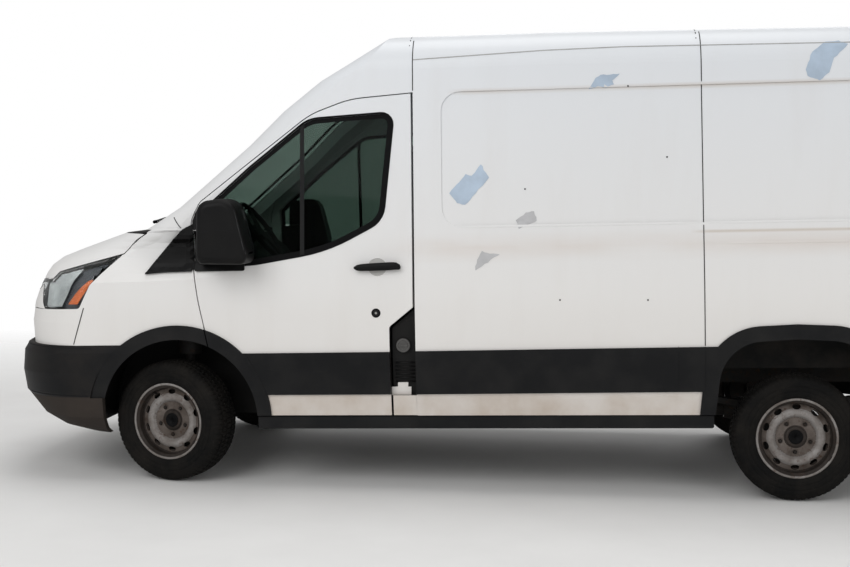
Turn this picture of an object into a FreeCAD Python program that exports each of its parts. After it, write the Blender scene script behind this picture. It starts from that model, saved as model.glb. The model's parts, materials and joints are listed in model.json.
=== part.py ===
import FreeCAD, Part
import math
import os
import re
from types import SimpleNamespace

from FreeCAD import Placement, Rotation, Vector

# Panel van with a raised roof, in millimetres.
# While it is drawn the body is level: x runs rearward from the left front wheel centre, y to the
# vehicle's right and z up from the ground under the front wheels.
# The finished body then leans nose-down by the rake of an empty van, and the whole vehicle
# is shifted so that its origin is the middle of the box around it, at the ground.

SIZES = [
    ("wheelbase", 3300, "front to rear wheel centre along the ground, as the van stands"),
    ("rake_angle", 1.583, "nose-down lean of the empty body, in degrees"),
    ("axle_height", 319, "front wheel centre above the base line of the body"),
    ("tyre_radius", 327, "outside radius of a tyre"),
    ("tyre_width", 215, "width over the sidewalls"),
    ("tyre_seat_radius", 190, "radius where the tyre sits on its rim"),
    ("flange_radius", 207, "outside radius of the rim flange"),
    ("rim_width", 190, "width over the rim flanges"),
    ("rim_skin", 8, "thickness of the pressed wheel"),
    ("disc_recess", 45, "wheel disc behind the outer flange"),
    ("hub_bore_radius", 33, "centre bore of the wheel"),
    ("vent_count", 10, "oval vent holes in a wheel disc"),
    ("vent_circle", 158, "radius of the circle of vent holes"),
    ("stud_count", 5, "wheel nuts"),
    ("stud_circle", 80, "radius of the circle of wheel nuts"),
    ("track_front", 1732, "between the front wheel centre planes"),
    ("track_rear", 1743, "between the rear wheel centre planes"),
    ("pin_clearance", 0.3, "radial clearance of a stub axle or ball pin"),
    ("kingpin_offset", 715, "steering axis from the centre line"),
    ("kingpin_back", 36, "steering axis behind the origin of the drawing"),
    ("steer_at_rest", 14, "front wheels turned to the right as the van stands, in degrees"),
    ("steer_clearance", 8, "between a knuckle and the arm under it"),
    ("sill_bottom", 284, "lower edge of the body sides"),
    ("sill_outer", 905, "outer face of a sill beam from the centre line"),
    ("door_bottom", 356, "lower edge of the doors"),
    ("front_door_rear_edge", 1345, "seam between the front door and the load space"),
    ("crown_height", 2402, "top of the roof on the centre line"),
    ("crown_drop", 36, "fall of the roof towards the rear"),
    ("roof_seam", 2246, "seam between roof and sides"),
    ("tail_face", 4450, "outer face of the rear doors at their foot"),
    ("tail_lean", 58, "forward lean of the tail over its height"),
    ("tail_bumper_reach", 4508, "rearmost face of the rear bumper"),
    ("wall", 70, "thickness of walls, doors and roof over trim"),
    ("front_skin", 40, "thickness of fenders, bonnet and bumper cover"),
    ("glass", 5, "thickness of the window glass"),
    ("glass_inset", 5, "glass behind the outer surface"),
    ("panel_gap", 6, "gap round a door or the bonnet"),
    ("swing_gap", 12, "gap behind a front door, for its swing"),
    ("rest_gap", 0.3, "between the closed bonnet and its rubber stops"),
    ("niche_depth", 50, "depth of the fuel filler niche"),
    ("cladding_depth", 12, "black side cladding proud of the panels"),
    ("handle_reach", 30, "door handle proud of the panel"),
    ("handle_bar", 14, "thickness of the pull of a door handle"),
    ("load_floor", 600, "top of the load floor"),
    ("floor_depth", 40, "thickness of the floor"),
    ("cab_floor_drop", 10, "cab floor below the load floor"),
    ("arch_centre", 60, "front arch centre behind the wheel centre"),
    ("arch_height", 345, "front arch centre above the base line"),
    ("arch_radius", 425, "inner edge of the front arch"),
    ("flare_width", 76, "width of the black arch flares"),
    ("liner_radius", 470, "inside of the front wheelhouse"),
    ("liner_skin", 8, "thickness of a wheelhouse"),
    ("rail_inner", 390, "inner face of a chassis rail"),
    ("rail_width", 70, "width of a chassis rail"),
    ("rail_depth", 110, "depth of a chassis rail"),
    ("roof_stud_radius", 4, "threaded roof rack points"),
    ("roof_stud_depth", 30, "depth of a roof rack point"),
    ("tow_socket_radius", 10, "threaded socket of the towing eye"),
    ("tow_socket_depth", 60, "depth of the towing eye socket"),
]

doc = FreeCAD.newDocument("PanelVan")
sheet = doc.addObject("Spreadsheet::Sheet", "Sizes")
for row, (alias, number, meaning) in enumerate(SIZES, start=1):
    sheet.set("A%d" % row, str(number))
    sheet.setAlias("A%d" % row, alias)
    sheet.set("B%d" % row, meaning)
doc.recompute()
v = SimpleNamespace(**{alias: float(sheet.get(alias)) for alias, number, meaning in SIZES})
NAMES = {alias for alias, number, meaning in SIZES}


# Helpers that put bound objects into the document

def bound(text):
    """The expression with each size name turned into a reference to the sheet."""
    return re.sub(r"[a-z][a-z_]*", lambda m: "Sizes." + m.group() if m.group() in NAMES else m.group(), text)


def bind(piece, **expressions):
    for name, text in expressions.items():
        piece.setExpression(name.replace("__", "."), bound(str(text)))
    return piece


def block(name, x, y, z):
    """A box between two corners, each bound given as an expression."""
    piece = doc.addObject("Part::Box", name)
    return bind(piece, Length="(%s) - (%s)" % (x[1], x[0]), Width="(%s) - (%s)" % (y[1], y[0]),
                Height="(%s) - (%s)" % (z[1], z[0]), Placement__Base__x=x[0],
                Placement__Base__y=y[0], Placement__Base__z=z[0])


AXES = {"x": Rotation(Vector(0, 0, 1), Vector(1, 0, 0)), "y": Rotation(Vector(0, 0, 1), Vector(0, 1, 0)),
        "z": Rotation()}


def rod(name, axis, start, radius, length):
    """A cylinder from its start point along an axis."""
    piece = doc.addObject("Part::Cylinder", name)
    piece.Placement = Placement(Vector(), AXES[axis])
    return bind(piece, Radius=radius, Height=length, Placement__Base__x=start[0],
                Placement__Base__y=start[1], Placement__Base__z=start[2])


def solid(name, shape):
    piece = doc.addObject("Part::Feature", name)
    piece.Shape = shape
    return piece


def together(name, *pieces):
    """Solids that share a node without touching."""
    piece = doc.addObject("Part::Compound", name)
    piece.Links = list(pieces)
    return piece


def fused(name, *pieces):
    piece = doc.addObject("Part::MultiFuse", name)
    piece.Shapes = list(pieces)
    return piece


def shared(name, *pieces):
    piece = doc.addObject("Part::MultiCommon", name)
    piece.Shapes = list(pieces)
    return piece


def cut(name, base, *tools):
    """The base less each tool in turn."""
    for number, tool in enumerate(tools, start=1):
        step = doc.addObject("Part::Cut", name if number == len(tools) else "%s_step_%d" % (name, number))
        step.Base = base
        step.Tool = tool
        base = step
    return base


# Outlines of straight sides and round corners

def rounded(corners, place):
    """Closed wire through corners (a, b, radius); place turns (a, b) into a point."""
    spans = []
    for i, (a, b, radius) in enumerate(corners):
        here = Vector(a, b, 0)
        back = Vector(corners[i - 1][0], corners[i - 1][1], 0) - here
        ahead = Vector(corners[(i + 1) % len(corners)][0], corners[(i + 1) % len(corners)][1], 0) - here
        if radius == 0:
            spans.append((here, here, here))
            continue
        back.normalize()
        ahead.normalize()
        half = back.getAngle(ahead) / 2
        reach = radius / math.tan(half)
        middle = here + (back + ahead).normalize() * (radius / math.sin(half) - radius)
        spans.append((here + back * reach, middle, here + ahead * reach))
    edges = []
    for i, (start, middle, end) in enumerate(spans):
        if (end - start).Length > 1e-6:
            edges.append(Part.Arc(place(start), place(middle), place(end)).toShape())
        following = spans[(i + 1) % len(spans)][0]
        if (following - end).Length > 1e-6:
            edges.append(Part.makeLine(place(end), place(following)))
    return Part.Wire(edges)


def side_prism(corners, y_from, y_to, grow=0):
    """Side-view outline (x, z, radius) as a solid between two planes of y."""
    wire = rounded(corners, lambda p: Vector(p.x, y_from, p.y))
    face = Part.Face(wire)
    if grow:
        face = face.makeOffset2D(grow)
    return face.extrude(Vector(0, y_to - y_from, 0))


def end_prism(corners, x_from, x_to):
    """End-view outline (y, z, radius) as a solid between two planes of x."""
    face = Part.Face(rounded(corners, lambda p: Vector(x_from, p.x, p.y)))
    return face.extrude(Vector(x_to - x_from, 0, 0))


def plan_prism(corners, z_from, z_to):
    """Plan outline (x, y, radius) as a solid between two heights."""
    face = Part.Face(rounded(corners, lambda p: Vector(p.x, p.y, z_from)))
    return face.extrude(Vector(0, 0, z_to - z_from))


# Outer form of the body: its cross-section along the whole length, its side profile, and
# plan outlines stacked from the bumper to the roof for the nose, bonnet and windscreen

WIDE = 1200           # beyond the sides of the body
FRONT = -1300         # ahead of the nose
LOW = 100             # below the sills

# Half cross-section of the body, foot to roof edge: half width, height, corner radius
SIDE_SECTION = [(972, v.sill_bottom, 0), (1001, 470, 200), (1021, 640, 700), (1017, 960, 1500),
                (995, 1200, 1500)]
ROOF_EDGE = (890, 2352, 205)
CROWN_RADIUS = 9000


def side_half_width(height):
    """Half width of the body at a height, by its straight-sided section."""
    points = [(b, a) for a, b, radius in SIDE_SECTION + [ROOF_EDGE]]
    for (low, first), (high, second) in zip(points, points[1:]):
        if height <= high:
            return first + (second - first) * (height - low) / (high - low)
    return points[-1][1]


def section_wire(x, drop, inset):
    """Cross-section of the body at x, its roof lower by drop, drawn inside by inset."""
    foot = v.sill_bottom if inset <= 0 else LOW
    right = []
    for half_width, height, radius in SIDE_SECTION:
        right.append((half_width - inset, foot if height == v.sill_bottom else height, radius))
    edge_y, edge_z, edge_radius = ROOF_EDGE
    right.append((edge_y - inset, edge_z - drop - inset, edge_radius - inset))
    crown = [(0, v.crown_height - drop - inset, CROWN_RADIUS)]
    left = [(-a, b, radius) for a, b, radius in reversed(right)]
    return rounded(right + crown + left, lambda p: Vector(x, p.x, p.y))


def section_form(inset):
    """Loft of cross-sections: level to the middle of the roof, then falling to the tail."""
    stations = ((FRONT, 0), (2100, 0), (4600, v.crown_drop))
    return Part.makeLoft([section_wire(x, drop, inset) for x, drop in stations], True, True)


# Front outlines, from the sill to the windscreen header:
# height, nose, radius of the middle, radius of the corners, half width at the corners
NOSE = [
    (200, -945, 2600, 450, None),
    (742, -949, 2600, 450, None),
    (862, -955, 2600, 450, None),
    (965, -937, 2600, 450, None),
    (1068, -897, 2600, 450, None),
    (1128, -868, 2600, 450, 970),
    (1166, -843, 2600, 450, 932),
    (1209, -785, 2600, 450, 880),
    (1254, -663, 2600, 450, 868),
    (1292, -548, 2600, 450, 890),
    (1340, -400, 2600, 450, 950),
    (1352, -290, 2500, 300, None),
    (1473, -92, 2500, 200, None),
    (1801, 310, 2500, 200, None),
    (1981, 504, 2500, 200, None),
    (2136, 709, 2500, 200, None),
    (2228, 872, 2500, 200, None),
    (2440, 1240, 2500, 200, None),
]
TAPER_END = 500       # the narrowed bonnet sides meet the full width here


def inset_profile(levels, inset):
    """The nose line moved inward at right angles to itself: height and nose of each level."""
    moved = []
    for i, level in enumerate(levels):
        below = levels[max(i - 1, 0)]
        above = levels[min(i + 1, len(levels) - 1)]
        rise = above[0] - below[0]
        back = above[1] - below[1]
        length = math.hypot(rise, back)
        moved.append((level[0] - inset * back / length, level[1] + inset * rise / length))
    return moved


def plan_wire(height, nose, middle_radius, corner_radius, half_width, full_width, back):
    """Plan outline: a middle arc, two corner arcs, tapered sides and a straight back."""
    reach = middle_radius - corner_radius
    corner_y = half_width - corner_radius
    centre = nose + middle_radius
    corner_x = centre - math.sqrt(reach ** 2 - corner_y ** 2)
    tangent = math.atan2(corner_y, centre - corner_x)
    meet = (centre - middle_radius * math.cos(tangent), middle_radius * math.sin(tangent))
    bend = (tangent + math.pi / 2) / 2
    mid = (corner_x - corner_radius * math.cos(bend), corner_y + corner_radius * math.sin(bend))

    def point(x, y):
        return Vector(x, y, height)

    edges = [Part.Arc(point(meet[0], -meet[1]), point(nose, 0), point(*meet)).toShape(),
             Part.Arc(point(*meet), point(*mid), point(corner_x, half_width)).toShape()]
    taper = max(TAPER_END, corner_x + 50)
    outline = [(corner_x, half_width), (taper, full_width), (back, full_width),
               (back, -full_width), (taper, -full_width), (corner_x, -half_width)]
    for start, end in zip(outline, outline[1:]):
        edges.append(Part.makeLine(point(*start), point(*end)))
    edges.append(Part.Arc(point(corner_x, -half_width), point(mid[0], -mid[1]),
                          point(meet[0], -meet[1])).toShape())
    return Part.Wire(edges)


OVERLAP = 6           # plan outlines stand this far outside the cross-section


def nose_form(levels, inset, back):
    """Ruled loft through the plan outlines."""
    wires = []
    for level, (height, nose) in zip(levels, inset_profile(levels, inset)):
        full = side_half_width(level[0]) - inset + OVERLAP
        half = full if level[4] is None else level[4] - inset
        wires.append(plan_wire(height, nose, level[2] - inset, level[3] - inset, half, full, back))
    return Part.makeLoft(wires, True, True)


def profile_form(inset):
    """Side profile that rounds the front of the roof and leans the tail."""
    tail = v.tail_face - inset
    head = v.crown_height + 14 - inset
    corners = [(FRONT, LOW - 50, 0), (FRONT, 1098 - inset, 0), (1010, 2300 - inset, 900),
               (1440, head, 2500), (tail - v.tail_lean, head, 60), (tail, LOW - 50, 0)]
    return side_prism(corners, -WIDE, WIDE)


def tail_prism(inset, x_from):
    """Plan of the load space with rounded rear corners."""
    back = v.tail_face + 12 - inset
    side = side_half_width(640) + OVERLAP - inset
    corners = [(x_from, -side, 0), (back, -side, 110), (back, side, 110), (x_from, side, 0)]
    return plan_prism(corners, LOW - 60, 2700)


def cab_form(inset):
    """Outer form ahead of the seam behind the front doors, drawn inside by inset."""
    form = section_form(inset).common(nose_form(NOSE, inset, v.front_door_rear_edge))
    return form.common(profile_form(inset))


def rear_form(inset):
    """Outer form of the load space, drawn inside by inset."""
    front = v.front_door_rear_edge if inset <= 0 else v.front_door_rear_edge - 50
    return section_form(inset).common(tail_prism(inset, front)).common(profile_form(inset))


cab_outer = cab_form(0)
cab_proud = cab_form(-v.cladding_depth)
cab_inner = cab_form(v.wall)
cab_lining = cab_form(v.front_skin)
rear_outer = rear_form(0)
rear_proud = rear_form(-v.cladding_depth)
rear_inner = rear_form(v.wall)

cab_wall = solid("cab_wall", cab_outer.cut(cab_inner))
front_wall = solid("front_wall", cab_outer.cut(cab_lining))
rear_wall = solid("rear_wall", rear_outer.cut(rear_inner))
cab_skin = solid("cab_skin", cab_proud.cut(cab_outer))
rear_skin = solid("rear_skin", rear_proud.cut(rear_outer))
cab_room = solid("cab_room", cab_inner)
engine_room = solid("engine_room", cab_lining)
load_room = solid("load_room", rear_inner)
left_half = block("left_half", ("-1400", "5000"), ("-1300", "0"), ("0", "3000"))
right_half = block("right_half", ("-1400", "5000"), ("0", "1300"), ("0", "3000"))

# Outlines on the side of the body: x, z, corner radius

SEAM = v.front_door_rear_edge
REAR_EDGE = SEAM - v.swing_gap
DOOR_HEAD = [(REAR_EDGE, 2045, 0), (1010, 2022, 500), (800, 1948, 400), (196, 1497, 60), (152, 1400, 120),
             (156, 1180, 500), (186, 980, 900), (240, 725, 0), (240, v.door_bottom, 0)]
FILLER_NOTCH = [(1208, v.door_bottom, 0), (1208, 828, 25), (REAR_EDGE, 928, 0)]
PLAIN_CORNER = [(REAR_EDGE, v.door_bottom, 0)]
DOOR_GAP = DOOR_HEAD[:-1] + [(240, 300, 0), (REAR_EDGE + 60, 300, 0), (REAR_EDGE + 60, 2045 + v.panel_gap, 0)]
WINDOW = [(250, 1480, 12), (470, 1672, 300), (790, 1922, 160), (1240, 1946, 55), (1178, 1385, 130),
          (880, 1232, 900), (500, 1170, 300), (215, 1150, 12), (208, 1440, 12)]
BONNET_EDGE = [(-1100, 1086, 0), (-668, 1100, 0), (-630, 1137, 0), (-262, 1230, 0)]
LAMP = [(-1100, 925, 0)] + BONNET_EDGE + [(-413, 1064, 30), (-473, 940, 20)]
BONNET = BONNET_EDGE + [(-196, 1301, 60), (-130, 1338, 0), (-1100, 1346, 0)]
FASCIA = [(-1100, 742, 0), (-510, 742, 0), (-446, 945, 0), (-380, 1100, 0), (-1100, 1100, 0)]
FENDER = [(-510, 742, 0), (-446, 945, 0), (-380, 1100, 0), (-250, 1245, 0), (-130, 1338, 0), (44, 1434, 0),
          (108, 1362, 0), (300, 1340, 0), (300, 400, 0), (-250, 400, 0), (-250, 742, 0)]
GRILLE_HALF = 480     # grille and inner lamp edges from the centre line
COWL_HEIGHT = 1356    # foot of the windscreen


def rear_arch(inset):
    """Rear wheel opening: flat top, wide round shoulders and near-upright legs."""
    centre = v.wheelbase - 8
    foot = 504 - inset
    shoulder = 442 - inset
    top = 802 - inset
    return [(centre - foot, 150, 0), (centre - shoulder, top, 300 - inset), (centre, top + 20, 0),
            (centre + shoulder, top, 300 - inset), (centre + foot, 150, 0)]


def arch_disc(radius, y_from, y_to):
    centre = Vector(v.arch_centre, y_from, v.arch_height)
    return Part.makeCylinder(radius, y_to - y_from, centre, Vector(0, 1, 0))


# Front doors, their glass, mirrors and cladding

HANDLE_LOW = 1127
HANDLE_HIGH = 1149
HANDLE_FOOT = 38      # length of each foot of a handle


def pull_handle(sign, x_from, x_to):
    """Pull handle along the side: a bar on two feet that stand on the panel."""
    surface = side_half_width(HANDLE_HIGH)
    outline = [(x_from, HANDLE_LOW, 8), (x_from, HANDLE_HIGH, 8),
               (x_to, HANDLE_HIGH, 8), (x_to, HANDLE_LOW, 8)]
    near, far = sorted((sign * (surface - 30), sign * (surface + v.handle_reach)))
    grip_near, grip_far = sorted((sign * (surface - 30), sign * (surface + v.handle_reach - v.handle_bar)))
    grip = Part.makeBox(x_to - x_from - 2 * HANDLE_FOOT, grip_far - grip_near, 60,
                        Vector(x_from + HANDLE_FOOT, grip_near, HANDLE_LOW - 20))
    return side_prism(outline, near, far).cut(cab_outer if x_from < SEAM else rear_outer).cut(grip)


def lock_ring(sign, x, z):
    """Round lock face, a little proud of the door."""
    far = side_half_width(z) + 4
    start = Vector(x, sign * far, z)
    face = Part.makeCylinder(17, 40, start, Vector(0, -sign, 0))
    return face.cut(Part.makeCylinder(7, 3, start, Vector(0, -sign, 0))).cut(cab_outer)


def front_door(side, lower_corner):
    """One front door: a panel of the cab wall with its window cut and its arch corner cut off."""
    sign = {"left": -1, "right": 1}[side]
    near, far = sorted((sign * 300, sign * WIDE))
    outline = DOOR_HEAD + lower_corner
    panel = solid("door_panel_" + side, side_prism(outline, near, far))
    opening = solid("window_opening_" + side, side_prism(WINDOW, near, far))
    arch = solid("door_arch_" + side, arch_disc(v.arch_radius, near, far))
    door = cut("front_door_" + side, shared("door_wall_" + side, cab_wall, panel), opening, arch)
    glass = shared("door_glass_" + side, glass_sheet, opening)
    band = fused("door_band_" + side,
                 solid("door_moulding_" + side, side_prism([(200, 468, 0), (200, 693, 0), (1400, 697, 0),
                                                            (1400, 470, 0)], near, far)),
                 solid("door_flare_" + side, arch_disc(v.arch_radius + v.flare_width, near, far)))
    cladding = cut("door_moulding_cut_" + side, shared("door_trim_" + side, cab_skin, panel, band), arch)
    divider = shared("window_divider_" + side, glass_rim, opening, window_bar)
    trim = together("door_cladding_" + side, cladding, divider,
                    solid("door_handle_" + side, pull_handle(sign, 1036, 1273)),
                    solid("door_lock_" + side, lock_ring(sign, 1140, 901)))
    return door, glass, trim


glass_outer = cab_form(v.glass_inset)
glass_inner = cab_form(v.glass_inset + v.glass)
glass_sheet = solid("glass_sheet", glass_outer.cut(glass_inner))
glass_rim = solid("glass_rim", cab_outer.cut(glass_outer))
window_bar = solid("window_bar", side_prism([(738, 1150, 0), (744, 1950, 0), (766, 1950, 0), (760, 1150, 0)],
                                            -WIDE, WIDE))

MIRROR_HEAD = [(236, 1180, 40), (248, 1500, 70), (440, 1522, 90), (506, 1250, 60), (500, 1172, 40)]
MIRROR_BASE = [(168, 1132, 10), (166, 1335, 15), (280, 1335, 30), (440, 1200, 20), (440, 1132, 10)]
MIRROR_ARM = [(200, 1170, 10), (235, 1290, 10), (420, 1290, 30), (420, 1176, 30)]


def door_mirror(side):
    """Upright mirror housing on an arm from a base plate in the front corner of the window."""
    sign = {"left": -1, "right": 1}[side]
    inner, outer = sorted((sign * 1040, sign * 1237))
    head = side_prism(MIRROR_HEAD, inner, outer)
    tip = [edge for edge in head.Edges if edge.BoundBox.YLength < 1 and abs(edge.BoundBox.YMin) > 1200]
    head = head.makeFillet(38, tip)
    arm = side_prism(MIRROR_ARM, *sorted((sign * 960, sign * 1060))).cut(cab_outer)
    base = cab_skin.Shape.common(side_prism(MIRROR_BASE, *sorted((sign * 300, sign * WIDE))))
    return solid("mirror_" + side, head.fuse([arm, base]))


door_left, glass_left, trim_left = front_door("left", FILLER_NOTCH)
door_right, glass_right, trim_right = front_door("right", PLAIN_CORNER)
mirror_left = door_mirror("left")
mirror_right = door_mirror("right")

# Cab frame: windscreen pillars, cab roof and the ring over the doors

door_gaps = together("door_gaps", solid("door_gap_left", side_prism(DOOR_GAP, -WIDE, -300, v.panel_gap)),
                     solid("door_gap_right", side_prism(DOOR_GAP, 300, WIDE, v.panel_gap)))
SCREEN = [(-835, COWL_HEIGHT, 60), (-765, 2128, 90), (765, 2128, 90), (835, COWL_HEIGHT, 60)]
screen_opening = solid("screen_opening", end_prism(SCREEN, -600, 1100))
windscreen = shared("windscreen_glass", glass_sheet, screen_opening)
fender_prism = solid("fender_prism", side_prism(FENDER, -WIDE, WIDE))
upper_cab = block("upper_cab", ("-320", "front_door_rear_edge"), ("-1200", "1200"), (COWL_HEIGHT, "2600"))
cab_roof = cut("cab_roof_panel", shared("upper_wall", cab_wall, upper_cab), door_gaps, screen_opening,
               fender_prism)

# Fenders, bonnet, bumper cover and lamps

arch_opening = solid("arch_opening", arch_disc(v.arch_radius + 8, -WIDE, WIDE))
lamp_prism = solid("lamp_prism", side_prism(LAMP, -WIDE, WIDE))
lamp_middle = block("lamp_middle", ("-1200", "0"), (-GRILLE_HALF, GRILLE_HALF), ("800", "1300"))
lamp_shape = cut("lamp_shape", lamp_prism, lamp_middle)
bonnet_prism = solid("bonnet_prism", side_prism(BONNET, -WIDE, WIDE))


def cowl_zone(grow):
    """Everything behind the rear edge of the bonnet, seen from above."""
    wire = plan_wire(1200, -400 - grow, 2600 + grow, 450 + grow, 950 + grow, 950 + grow, 600)
    return Part.Face(wire).extrude(Vector(0, 0, COWL_HEIGHT - 1200 + grow))


bonnet = cut("bonnet_panel", shared("bonnet_wall", front_wall, bonnet_prism),
             solid("cowl_clearance", cowl_zone(v.panel_gap)))
bonnet_gap = solid("bonnet_gap", side_prism(BONNET, -WIDE, WIDE, v.panel_gap))
headlamps = cut("headlamp_pair", shared("lamp_wall", front_wall, lamp_shape), bonnet_gap)
fender_wall = shared("fender_wall", front_wall, fender_prism)
fenders = cut("fender_pair", fender_wall, door_gaps, arch_opening, lamp_shape, bonnet_gap)
fascia_prism = solid("fascia_prism", side_prism(FASCIA, -WIDE, WIDE))
GRILLE = [(-440, 1068, 30), (440, 1068, 30), (400, 800, 40), (-400, 800, 40)]
grille_opening = solid("grille_opening", end_prism(GRILLE, -1200, -700))
cover_panel = cut("cover_panel", shared("fascia_wall", front_wall, fascia_prism), lamp_shape,
                  grille_opening, bonnet_gap)


def bonnet_stop(x, y):
    """Rubber stop on the cover's top edge, under the front edge of the bonnet."""
    (x_1, z_1, r_1), (x_2, z_2, r_2) = BONNET_EDGE[:2]
    front, back = (z_1 + (a - x_1) * (z_2 - z_1) / (x_2 - x_1) - v.rest_gap for a in (x - 10, x + 10))
    foot = z_1 - v.panel_gap
    outline = [(x - 10, foot, 0), (x - 10, front, 0), (x + 10, back, 0), (x + 10, foot, 0)]
    return side_prism(outline, y - 15, y + 15)


bumper_cover = fused("bumper_cover_panel", cover_panel, solid("bonnet_stop_left", bonnet_stop(-852, -300)),
                     solid("bonnet_stop_right", bonnet_stop(-852, 300)))
cowl_span = solid("cowl_span", side_prism([(-500, 1200, 0), (-500, COWL_HEIGHT, 0), (-60, COWL_HEIGHT, 0),
                                           (-60, 1200, 0)], -WIDE, WIDE))
cowl = cut("cowl_panel_wall", shared("cowl_wall", front_wall, cowl_span, solid("cowl_zone", cowl_zone(0))),
           fender_prism)


def grille_bars():
    """Frame and bars of the grille, following the nose."""
    rim = end_prism(GRILLE, -1200, -700)
    hole = end_prism([(-415, 1046, 20), (415, 1046, 20), (378, 822, 25), (-378, 822, 25)], -1200, -700)
    frame = rim.cut(hole)
    for height in (880, 934, 988):
        frame = frame.fuse(Part.makeBox(500, 1000, 20, Vector(-1200, -500, height)).common(rim))
    return frame


grille = shared("grille_unit", front_wall, solid("grille_frame", grille_bars()))

# Black bumper skirt under the nose
SKIRT = [
    (250, -700, 2600, 450, 930),
    (284, -812, 2600, 450, 965),
    (348, -908, 2600, 450, 1000),
    (482, -1008, 2600, 450, 1018),
    (590, -1023, 2600, 450, 1024),
    (700, -1012, 2600, 450, 1026),
    (742, -985, 2600, 450, 1022),
]


INTAKE_BARS = (480, 535, 590)   # heights of the bars across the air intake


def skirt_shell():
    """Hollow skirt, open behind, cut off at the arch flare."""
    outer = []
    inner = []
    for height, nose, middle, corner, half in SKIRT:
        outer.append(plan_wire(height, nose, middle, corner, half, half, 200))
        inner.append(plan_wire(height, nose + v.front_skin, middle - v.front_skin, corner - v.front_skin,
                               half - v.front_skin, half - v.front_skin, 250))
    shell = Part.makeLoft(outer, True, True).cut(Part.makeLoft(inner, True, True))
    keep = side_prism([(-1200, 200, 0), (-1200, 742, 0), (-250, 742, 0), (-250, 455, 0), (-362, 455, 0),
                       (-362, 200, 0)], -WIDE, WIDE)
    shell = shell.common(keep).cut(arch_disc(v.arch_radius + v.flare_width, -WIDE, WIDE).common(
        Part.makeBox(900, 2 * WIDE, 600, Vector(-480, -WIDE, 455))))
    intake = end_prism([(-520, 655, 40), (520, 655, 40), (470, 430, 40), (-470, 430, 40)], -1200, -700)
    for height in INTAKE_BARS:
        intake = intake.cut(Part.makeBox(700, 1200, 16, Vector(-1300, -600, height - 8)))
    socket = Part.makeCylinder(v.tow_socket_radius + 8, 400, Vector(-1200, 640, 550), Vector(1, 0, 0))
    return shell.cut(intake).cut(socket)


bumper_skirt = solid("bumper_skirt_shell", skirt_shell())

# Load space: roof, sides, sliding door and rear doors

above_seam = block("above_seam", ("front_door_rear_edge", "4600"), ("-1200", "1200"), ("roof_seam", "2600"))
below_seam = block("below_seam", ("front_door_rear_edge", "4600"), ("-1200", "1200"),
                   ("sill_bottom + 70", "roof_seam"))
ROOF_POINT_Y = 640    # roof rack points from the centre line


def roof_height(x, y):
    """Outer surface of the roof outside its rounded crown."""
    fall = (v.crown_height - ROOF_EDGE[1]) * abs(y) / ROOF_EDGE[0]
    return v.crown_height - fall - v.crown_drop * max(0, x - 2100) / 2500


roof_points = []
for x in (1700, 2700, 3700):
    for side, y in (("left", -ROOF_POINT_Y), ("right", ROOF_POINT_Y)):
        depth = "%.3f - roof_stud_depth" % roof_height(x, y)
        roof_points.append(rod("roof_point_%s_%d" % (side, x), "z", (str(x), str(y), depth),
                               "roof_stud_radius", "100"))
roof = cut("roof_panel", shared("roof_wall", rear_wall, above_seam), together("roof_holes", *roof_points))

REAR_DOOR_HALF = 838
REAR_DOOR_SPLIT = 6   # half of the gap between the two rear doors
REAR_DOOR_FOOT = 580
REAR_DOOR_HEAD = 2225


def rear_door_prism(y_from, y_to, grow):
    """End-view outline of a rear door between two distances from the centre line."""
    low, high = sorted((y_from, y_to))
    outline = [(low - grow, REAR_DOOR_FOOT - grow, 40), (low - grow, REAR_DOOR_HEAD + grow, 40),
               (high + grow, REAR_DOOR_HEAD + grow, 40), (high + grow, REAR_DOOR_FOOT - grow, 40)]
    return end_prism(outline, 4200, 4600)


tail_opening = solid("tail_opening", rear_door_prism(-REAR_DOOR_HALF, REAR_DOOR_HALF, v.panel_gap))
arch_cut = solid("rear_arch_opening", side_prism(rear_arch(v.flare_width), -WIDE, WIDE))
RECESS = [(1492, 1345, 100), (1492, 2048, 100), (4260, 2048, 100), (4260, 1345, 100)]
pressing = rear_outer.cut(rear_form(7)).common(side_prism(RECESS, -WIDE, WIDE))
side_recess = solid("side_recess", pressing)
lamp_band = end_prism([(870, 880, 10), (1100, 880, 10), (1100, 1420, 10), (858, 1420, 10)], 4340, 4600)
lamp_band = lamp_band.fuse(lamp_band.mirror(Vector(), Vector(0, 1, 0)))
tail_lamps = solid("tail_lamp_pair", rear_form(-8).cut(rear_form(45)).common(lamp_band))
lamp_pocket = solid("lamp_pocket", lamp_band.cut(rear_form(45)))
side_wall = cut("side_wall", shared("lower_wall", rear_wall, below_seam), tail_opening, arch_cut, side_recess,
                lamp_pocket)
SLIDING = [(1350, 400, 60), (1350, 2215, 40), (2833, 2215, 40), (2833, 760, 120), (2760, 400, 60)]
sliding_prism = solid("sliding_prism", side_prism(SLIDING, 300, WIDE))
sliding_gap = solid("sliding_gap", side_prism(SLIDING, 300, WIDE, 5))
side_left_wall = shared("side_left_wall", side_wall, left_half)
side_right_wall = shared("side_right_wall", side_wall, right_half)
side_right = cut("side_right_panel", side_right_wall, sliding_gap)
sliding_door = shared("sliding_door_panel", side_right_wall, sliding_prism)
rear_door_left = shared("rear_door_panel_left", rear_wall,
                        solid("rear_door_prism_left", rear_door_prism(-REAR_DOOR_HALF, -REAR_DOOR_SPLIT, 0)))
rear_door_right = shared("rear_door_panel_right", rear_wall,
                         solid("rear_door_prism_right", rear_door_prism(REAR_DOOR_SPLIT, REAR_DOOR_HALF, 0)))

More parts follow.
